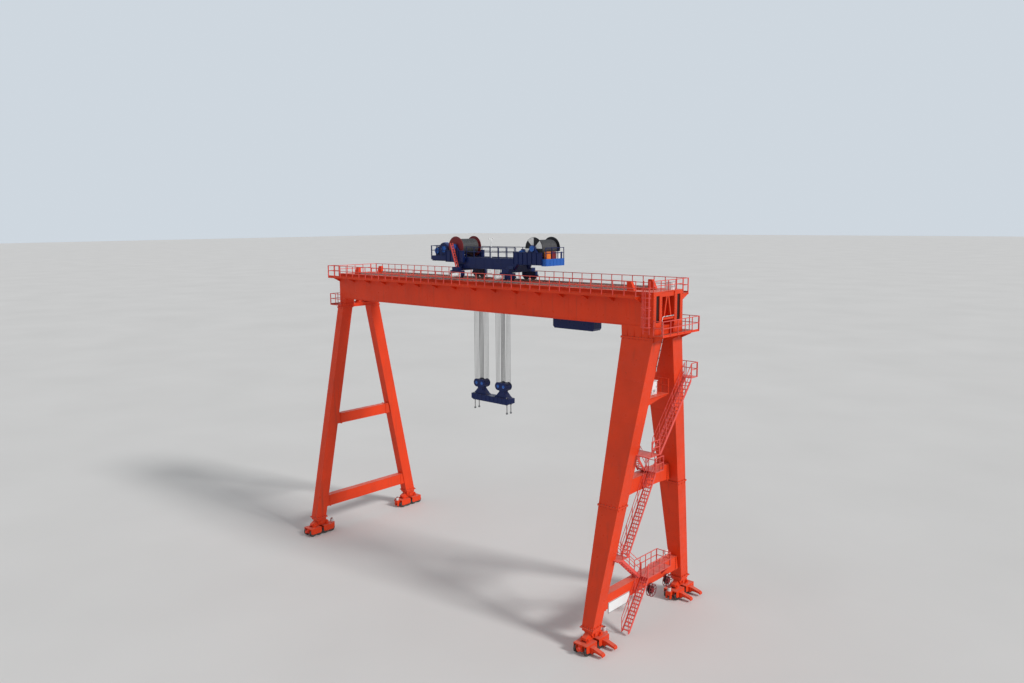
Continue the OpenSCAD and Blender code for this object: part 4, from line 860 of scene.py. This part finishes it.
def bogie_details():
    """Axle caps, pin caps, buffer pads, clamp motors and bolts on the ground bogies."""
    caps, pads, heads, motors, hoods = Shape(), Shape(), Shape(), Shape(), Shape()
    axle_x, truck_pin, foot_pin, flange_x, flange_y = 0.130, (0.34, 1.0), (0.40, 1.18), 0.55, 0.59
    clamp_z, fin_r, fin_half, fin_low, fin_top = 0.75, 0.146, 0.004, 0.80, 1.05
    for rail_x, foot_y in ((rigid_rail_x, rigid_foot_y), (flex_rail_x, flex_foot_y)):
        for t in (-1, 1):
            for u in (-1, 1):
                y = foot_y + t * truck_gap / 2 + u * truck_base / 2
                for x in (-rail_pair / 2, rail_pair / 2):
                    for s in (-1, 1):
                        face = rail_x + x + s * axle_x
                        caps.cap((face, y, ground_wheel_z), (s, 0, 0), 0.115, 0.06, 0.018, 0.03, 20)
                        heads.bolt_ring((face + s * 0.018, y, ground_wheel_z), (s, 0, 0),
                                        0.092, 6, 0.011, 0.011)
            y = foot_y + t * truck_gap / 2
            for s in (-1, 1):
                out, z = truck_pin
                caps.cap((rail_x + s * out, y, z), (s, 0, 0), 0.10, 0.05, 0.02, 0.03, 20)
        for s in (-1, 1):
            out, z = foot_pin
            caps.cap((rail_x + s * out, foot_y, z), (s, 0, 0), 0.135, 0.08, 0.02, 0.03, 20)
        buffer = (rail_x, foot_y + buffer_y, ground_wheel_z + 0.16)
        pads.disc(buffer, (0, 1, 0), 0.152, 0.005, 0.085, 28)
        clamp = (rail_x, foot_y - buffer_y, clamp_z)
        motors.disc(clamp, (0, 0, 1), 0.145, 0.03, 0.325, 28)
        hoods.lathe(clamp, (0, 0, 1), [(0.103, 0.328), (0.103, 0.375), (0.06, 0.385)], 28)
        for a in turn(12):
            x, y = clamp[0] + fin_r * math.cos(a), clamp[1] + fin_r * math.sin(a)
            hoods.box(x - fin_half, x + fin_half, y - fin_half, y + fin_half, fin_low, fin_top)
        for x in spaced(rail_x - flange_x, rail_x + flange_x, 0.22):
            for y in (foot_y - flange_y, foot_y + flange_y):
                heads.bolt((x, y, foot_z), (0, 0, 1), 0.02, 0.02)
    for shape in (caps, pads, heads, motors, hoods):
        shape.mirrored()
    motors.make("clamp_motor_covers", white)
    hoods.make("clamp_motor_hoods", black)
    caps.make("bogie_axle_caps", orange)
    pads.make("buffer_pads", pad_red)
    heads.make("bogie_bolts", dark_steel)


def drive_details():
    """Fins on the travel motors under their hoods, and the bolts of the drives."""
    shape = Shape()
    pitch, first, motor_z = 0.04, 0.05, 0.355
    sides = ((rigid_rail_x, rigid_foot_y, 1, 11), (flex_rail_x, flex_foot_y, -1, 5))
    for rail_x, foot_y, side, turns in sides:
        for y in (foot_y - truck_gap / 2, foot_y + truck_gap / 2):
            x = rail_x + side * 0.84
            for k in range(turns):
                place = (x + side * (first + pitch * k), y, motor_z)
                shape.disc(place, (side, 0, 0), 0.125, 0, 0.012, 20)
            for dy in (-0.17, 0.17):
                for z in (0.245, 0.585):
                    shape.bolt((rail_x + side * 0.83, y + dy, z), (side, 0, 0), 0.016, 0.016)
    shape.mirrored()
    shape.make("travel_motor_fins", dark_steel)


# Trolley: winch machinery, ropes and fittings

def windings(name, drum_x, body):
    """Rope wound on a drum, one turn beside the other."""
    shape = Shape()
    pitch, r, sunk = 0.031, 0.0155, 0.002
    bare_end = 0.10
    width = 2 * (cheek_face - bare_end)
    turns = int(width / pitch)
    start = -turns * pitch / 2
    for k in range(turns):
        place = (drum_x, start + (k + 0.5) * pitch, drum_z)
        shape.torus(place, (0, 1, 0), barrel_r + r - sunk, r, 48, 6)
    shape.make(name, rope, body)


def disc_sectors():
    """Every second eighth of the right drum's end discs is white."""
    shape = Shape()
    inner, outer, t, steps = 0.16, disc_r - 0.02, 0.004, 8
    for side in (-1, 1):
        for k in range(4):
            angles = [math.radians(90 * k + 45 * i / steps) for i in range(steps + 1)]
            edge = [(outer * math.cos(a), outer * math.sin(a)) for a in angles]
            edge += [(inner * math.cos(a), inner * math.sin(a)) for a in reversed(angles)]
            shape.rings([[(right_drum_x + u, side * (cheek_face + d), drum_z + v) for u, v in edge]
                         for d in (0, t)])
    shape.make("disc_sectors", white, "right_drum_body")


def disc_bolts(name, drum_x, body):
    """A hub plate and a ring of bolts on both end discs of a drum."""
    shape = Shape()
    for side in (-1, 1):
        centre = (drum_x, side * cheek_face, drum_z)
        shape.bolt_ring(centre, (0, side, 0), 0.78, 16, 0.014, 0.012)
        shape.disc(centre, (0, side, 0), 0.2, 0, 0.012, 28)
    shape.make(name, dark_steel, body)


def rope_falls():
    """The taut falls: copies of the model's rope nodes with the rope look, which take their place
    while the originals are hidden.
    """
    for side in ("left", "right"):
        falls = bpy.data.objects.new(side + "_rope_falls", nodes[side + "_ropes"].data.copy())
        falls.data.materials.clear()
        falls.data.materials.append(rope)
        bpy.context.scene.collection.objects.link(falls)
        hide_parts(side + "_ropes")
        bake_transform(falls)


def drum_falls():
    """Ropes from the drums to the upper pulleys, in the trolley's own body."""
    shape = Shape()
    r, fan = 0.014, 1.6
    pulley_z = box_middle("upper_pulleys", 2)
    for drum_x, end_x, side in ((left_drum_x, hook_x - block_gap / 2 - pulley_x, 1),
                                (right_drum_x, hook_x + block_gap / 2 + pulley_x, -1)):
        for y in (-0.225, 0.225):
            start = (drum_x + side * 0.18, y * fan, drum_z - barrel_r - 0.012)
            shape.rod(start, (end_x, y, pulley_z + 0.30), r)
    shape.make("drum_falls", rope, "trolley")


def cheek_details():
    """Ribs, bearing caps and bolts on the cheek plates beside the drums."""
    ribs, bolts, caps = Shape(), Shape(), Shape()
    face = cheek_y + 0.15
    low, top, t = beam_top - 0.45, beam_top + 0.56, 0.02
    rib_half, rib_out, flange_out, cap_out = 0.008, 0.05, 0.07, 0.06
    for drum_x, x0, x1 in ((left_drum_x, left_drum_x - 1.1, left_drum_x + 1.1),
                           (right_drum_x, right_drum_x - 2.05, frame_hi[0])):
        for x in spaced(x0 + 0.03, x1 - 0.03, 0.55):
            ribs.box(x - rib_half, x + rib_half, face, face + rib_out, low + 0.01, top - t)
        ribs.box(x0, x1, face, face + flange_out, low, low + t)
        ribs.box(x0, x1, face, face + flange_out, top - t, top)
        caps.cap((drum_x, face + cap_out, drum_z), (0, 1, 0), 0.24, 0.15, 0.02, 0.035, 32)
        bolts.bolt_ring((drum_x, face + cap_out + 0.02, drum_z), (0, 1, 0), 0.2, 10, 0.016, 0.014)
    for shape in (ribs, bolts, caps):
        shape.mirrored()
    ribs.make("cheek_ribs", navy, "trolley")
    bolts.make("bearing_bolts", bright_steel, "trolley")
    caps.make("bearing_caps", blue, "trolley")


def winch_details():
    """Blue motor fins and fan covers, brake discs, and the gearboxes' caps, lids and bolts."""
    jackets, brakes, bolts = Shape(), Shape(), Shape()
    for x, y0, y1, z in ((left_drum_x - 2.65, -0.95, 0.9, beam_top + 0.47),
                         (right_drum_x - 1.55, -0.95, 0.2, beam_top + 0.42)):
        for y in spaced(y0 + 0.1, y1 - 0.25, 0.045):
            jackets.disc((x, y, z), (0, 1, 0), 0.286, 0, 0.016, 32)
        fan_cover = [(0.24, 0), (0.272, 0.03), (0.272, 0.10)]
        jackets.lathe((x, y0 - 0.03, z), (0, 1, 0), fan_cover, 32)
        brake = [(0.06, 0), (0.06, 0.12), (0.2, 0.12), (0.2, 0.14), (0.07, 0.14), (0.07, 0.2)]
        brakes.lathe((x, y1, z), (0, 1, 0), brake, 28)
    left_x, right_x = left_drum_x - 2.25, right_drum_x - 2.03
    for x0, x1, y0, y1, top in ((left_x, left_drum_x - 1.15, 0.35, 1.0, beam_top + 1.2),
                                (left_x, left_drum_x - 1.15, -1.0, -0.45, beam_top + 1.2),
                                (right_x, right_drum_x - 1.0, 0.25, 0.9, beam_top + 1.0)):
        mid = (x0 + x1) / 2
        z = top - (x1 - x0) / 2
        for side, y in ((-1, y0), (1, y1)):
            jackets.cap((mid, y, z), (0, side, 0), 0.30, 0.22, 0.03, 0.045, 32)
            bolts.bolt_ring((mid, y + side * 0.03, z), (0, side, 0), 0.26, 8, 0.016, 0.014)
        jackets.box(mid - 0.16, mid + 0.16, y0 + 0.15, y1 - 0.15, top - 0.01, top + 0.03)
    jackets.make("winch_jackets", blue, "trolley")
    brakes.make("brake_discs", bright_steel, "trolley")
    bolts.make("gearbox_bolts", bright_steel, "trolley")


def end_stage():
    """The bright blue fascia round the stage at the trolley's right end, and the boxes on it."""
    x = frame_hi[0]
    end = x + stage_out
    low, top, t, rib_out = beam_top - 0.52, beam_top + 0.05, 0.012, 0.03
    face = Shape()
    face.box(end, end + t, -cheek_y, cheek_y, low, top)
    for y in spaced(-cheek_y + 0.1, cheek_y - 0.1, 0.5):
        face.box(end + t, end + rib_out, y - t, y + t, low + 0.02, top - 0.02)
    for s in (-1, 1):
        a, b = sorted((s * cheek_y, s * (cheek_y + t)))
        face.box(x - 0.1, end + t, a, b, low, top)
    face.make("stage_fascia", blue, "trolley")
    for name, y, look in (("stage_box_left", -0.95, lamp_orange),
                          ("stage_box_middle", -0.35, maroon),
                          ("stage_box_right", 0.25, white)):
        shell = Shape()
        shell.box(x + 0.036, x + 0.294, y - 0.004, y + 0.484, top, top + 0.574)
        shell.box(x + 0.294, x + 0.30, y + 0.04, y + 0.44, top + 0.05, top + 0.52)
        shell.make(name, look, "trolley", 0.01)


def trolley_deck():
    """Grating on the trolley's left stage, and ribs on its long beams."""
    sheet = Shape()
    y, z = cheek_y - 0.06, beam_top + 0.05
    for a, b in panels(frame_lo[0] + 0.05, left_drum_x - 1.05, 1.0):
        sheet.box(a, b, -y, y, z, z + 0.006)
    sheet.make("trolley_grating", navy_grating, "trolley")

    seams = Shape()
    rib_half, proud, edge = 0.01, 0.008, 0.03
    x0, x1 = left_drum_x + 1.15, right_drum_x - 2.1
    for x in spaced(hook_x - 3.0, hook_x + 3.2, 1.05):
        seams.box(x - rib_half, x + rib_half, beam_out, beam_out + proud,
                  beam_z + 0.02, beam_top - 0.02)
    seams.box(x0, x1, beam_out, beam_out + edge, beam_top - edge, beam_top)
    seams.box(x0, x1, beam_out, beam_out + edge, beam_z, beam_z + edge)
    seams.mirrored()
    seams.make("beam_ribs", navy, "trolley")


def trolley_travel():
    """Motor fins, wheel hubs and rubber buffers of the trolley's travel gear."""
    fins, hubs, rubbers = Shape(), Shape(), Shape()
    wheel_z = box_middle("trolley_wheels", 2)
    for s in (-1, 1):
        x = trolley_x + s * (trolley_truck / 2 - trolley_wheel_x)
        for y in spaced(girder_y + 0.56, girder_y + 0.98, 0.045):
            fins.disc((x, y, wheel_z + 0.03), (0, 1, 0), 0.178, 0, 0.015, 28)
        for t in (-1, 1):
            x = trolley_x + s * trolley_truck / 2 + t * trolley_wheel_x
            for side in (-1, 1):
                driven = side > 0 and t == -s
                if not driven:
                    place = (x, girder_y + side * 0.135, wheel_z)
                    hubs.cap(place, (0, side, 0), 0.11, 0.06, 0.02, 0.035, 24)
        end = trolley_x + s * (trolley_truck / 2 + 0.765)
        rubbers.disc((end + s * 0.06, girder_y, wheel_z + 0.05), (s, 0, 0), 0.077, 0, 0.088, 20)
    for shape in (fins, hubs, rubbers):
        shape.mirrored()
    fins.make("travel_fins", white, "trolley")
    hubs.make("trolley_hub_caps", navy, "trolley")
    rubbers.make("trolley_buffers", rubber, "trolley")


# Spreader: ribs, pulley caps and rod nuts

def spreader_details():
    ribs, caps, nuts = Shape(), Shape(), Shape()
    w, low = spreader_hi[1], spreader_lo[2]
    top = low + 0.55
    rib_half, rib_out, edge, rod_in = 0.01, 0.02, 0.03, 0.32
    for x in spaced(spreader_lo[0] + 0.3, spreader_hi[0] - 0.3, 0.5):
        ribs.box(x - rib_half, x + rib_half, w, w + rib_out, low + 0.02, top - 0.02)
    ribs.box(spreader_lo[0] + 0.1, spreader_hi[0] - 0.1, w, w + edge, top - edge, top)
    z, face = box_middle("pulley_blocks", 2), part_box("pulley_blocks")[1][1]
    for s in (-1, 1):
        for t in (-1, 1):
            x = hook_x + s * block_gap / 2 + t * pulley_x
            caps.cap((x, face, z), (0, 1, 0), 0.14, 0.08, 0.02, 0.03, 28)
            nuts.bolt_ring((x, face + 0.02, z), (0, 1, 0), 0.11, 6, 0.012, 0.012)
        x = hook_x + s * (spreader_hi[0] - hook_x - rod_in)
        nut = [(0.07, 0), (0.07, 0.06), (0.045, 0.06), (0.045, 0.11)]
        nuts.lathe((x, 0.25, top), (0, 0, 1), nut, 6)
    for shape in (ribs, caps, nuts):
        shape.mirrored()
    ribs.make("spreader_ribs", navy, "spreader")
    caps.make("pulley_caps", blue, "spreader")
    nuts.make("rod_nuts", bright_steel, "spreader")


photo_camera()
sky()
lamps()
pale_floor()
bpy.context.scene.view_settings.view_transform = "Standard"
for look, names in node_looks.items():
    dress(look, names)
leg_bolts()
leg_seams()
flange_ribs()
girder_seams()
end_bolts()
tie_bolts()
end_slot_shades()
feed_cable()
sill_lamp()
deck_sheets()
toe_boards()
rail_clips()
cable_runs()
cabinet_details()
panel_frame()
reel_cable()
bogie_details()
drive_details()
windings("left_winding", left_drum_x, "left_drum_body")
windings("right_winding", right_drum_x, "right_drum_body")
disc_sectors()
disc_bolts("left_disc_bolts", left_drum_x, "left_drum_body")
disc_bolts("right_disc_bolts", right_drum_x, "right_drum_body")
rope_falls()
drum_falls()
cheek_details()
winch_details()
end_stage()
trolley_deck()
trolley_travel()
spreader_details()
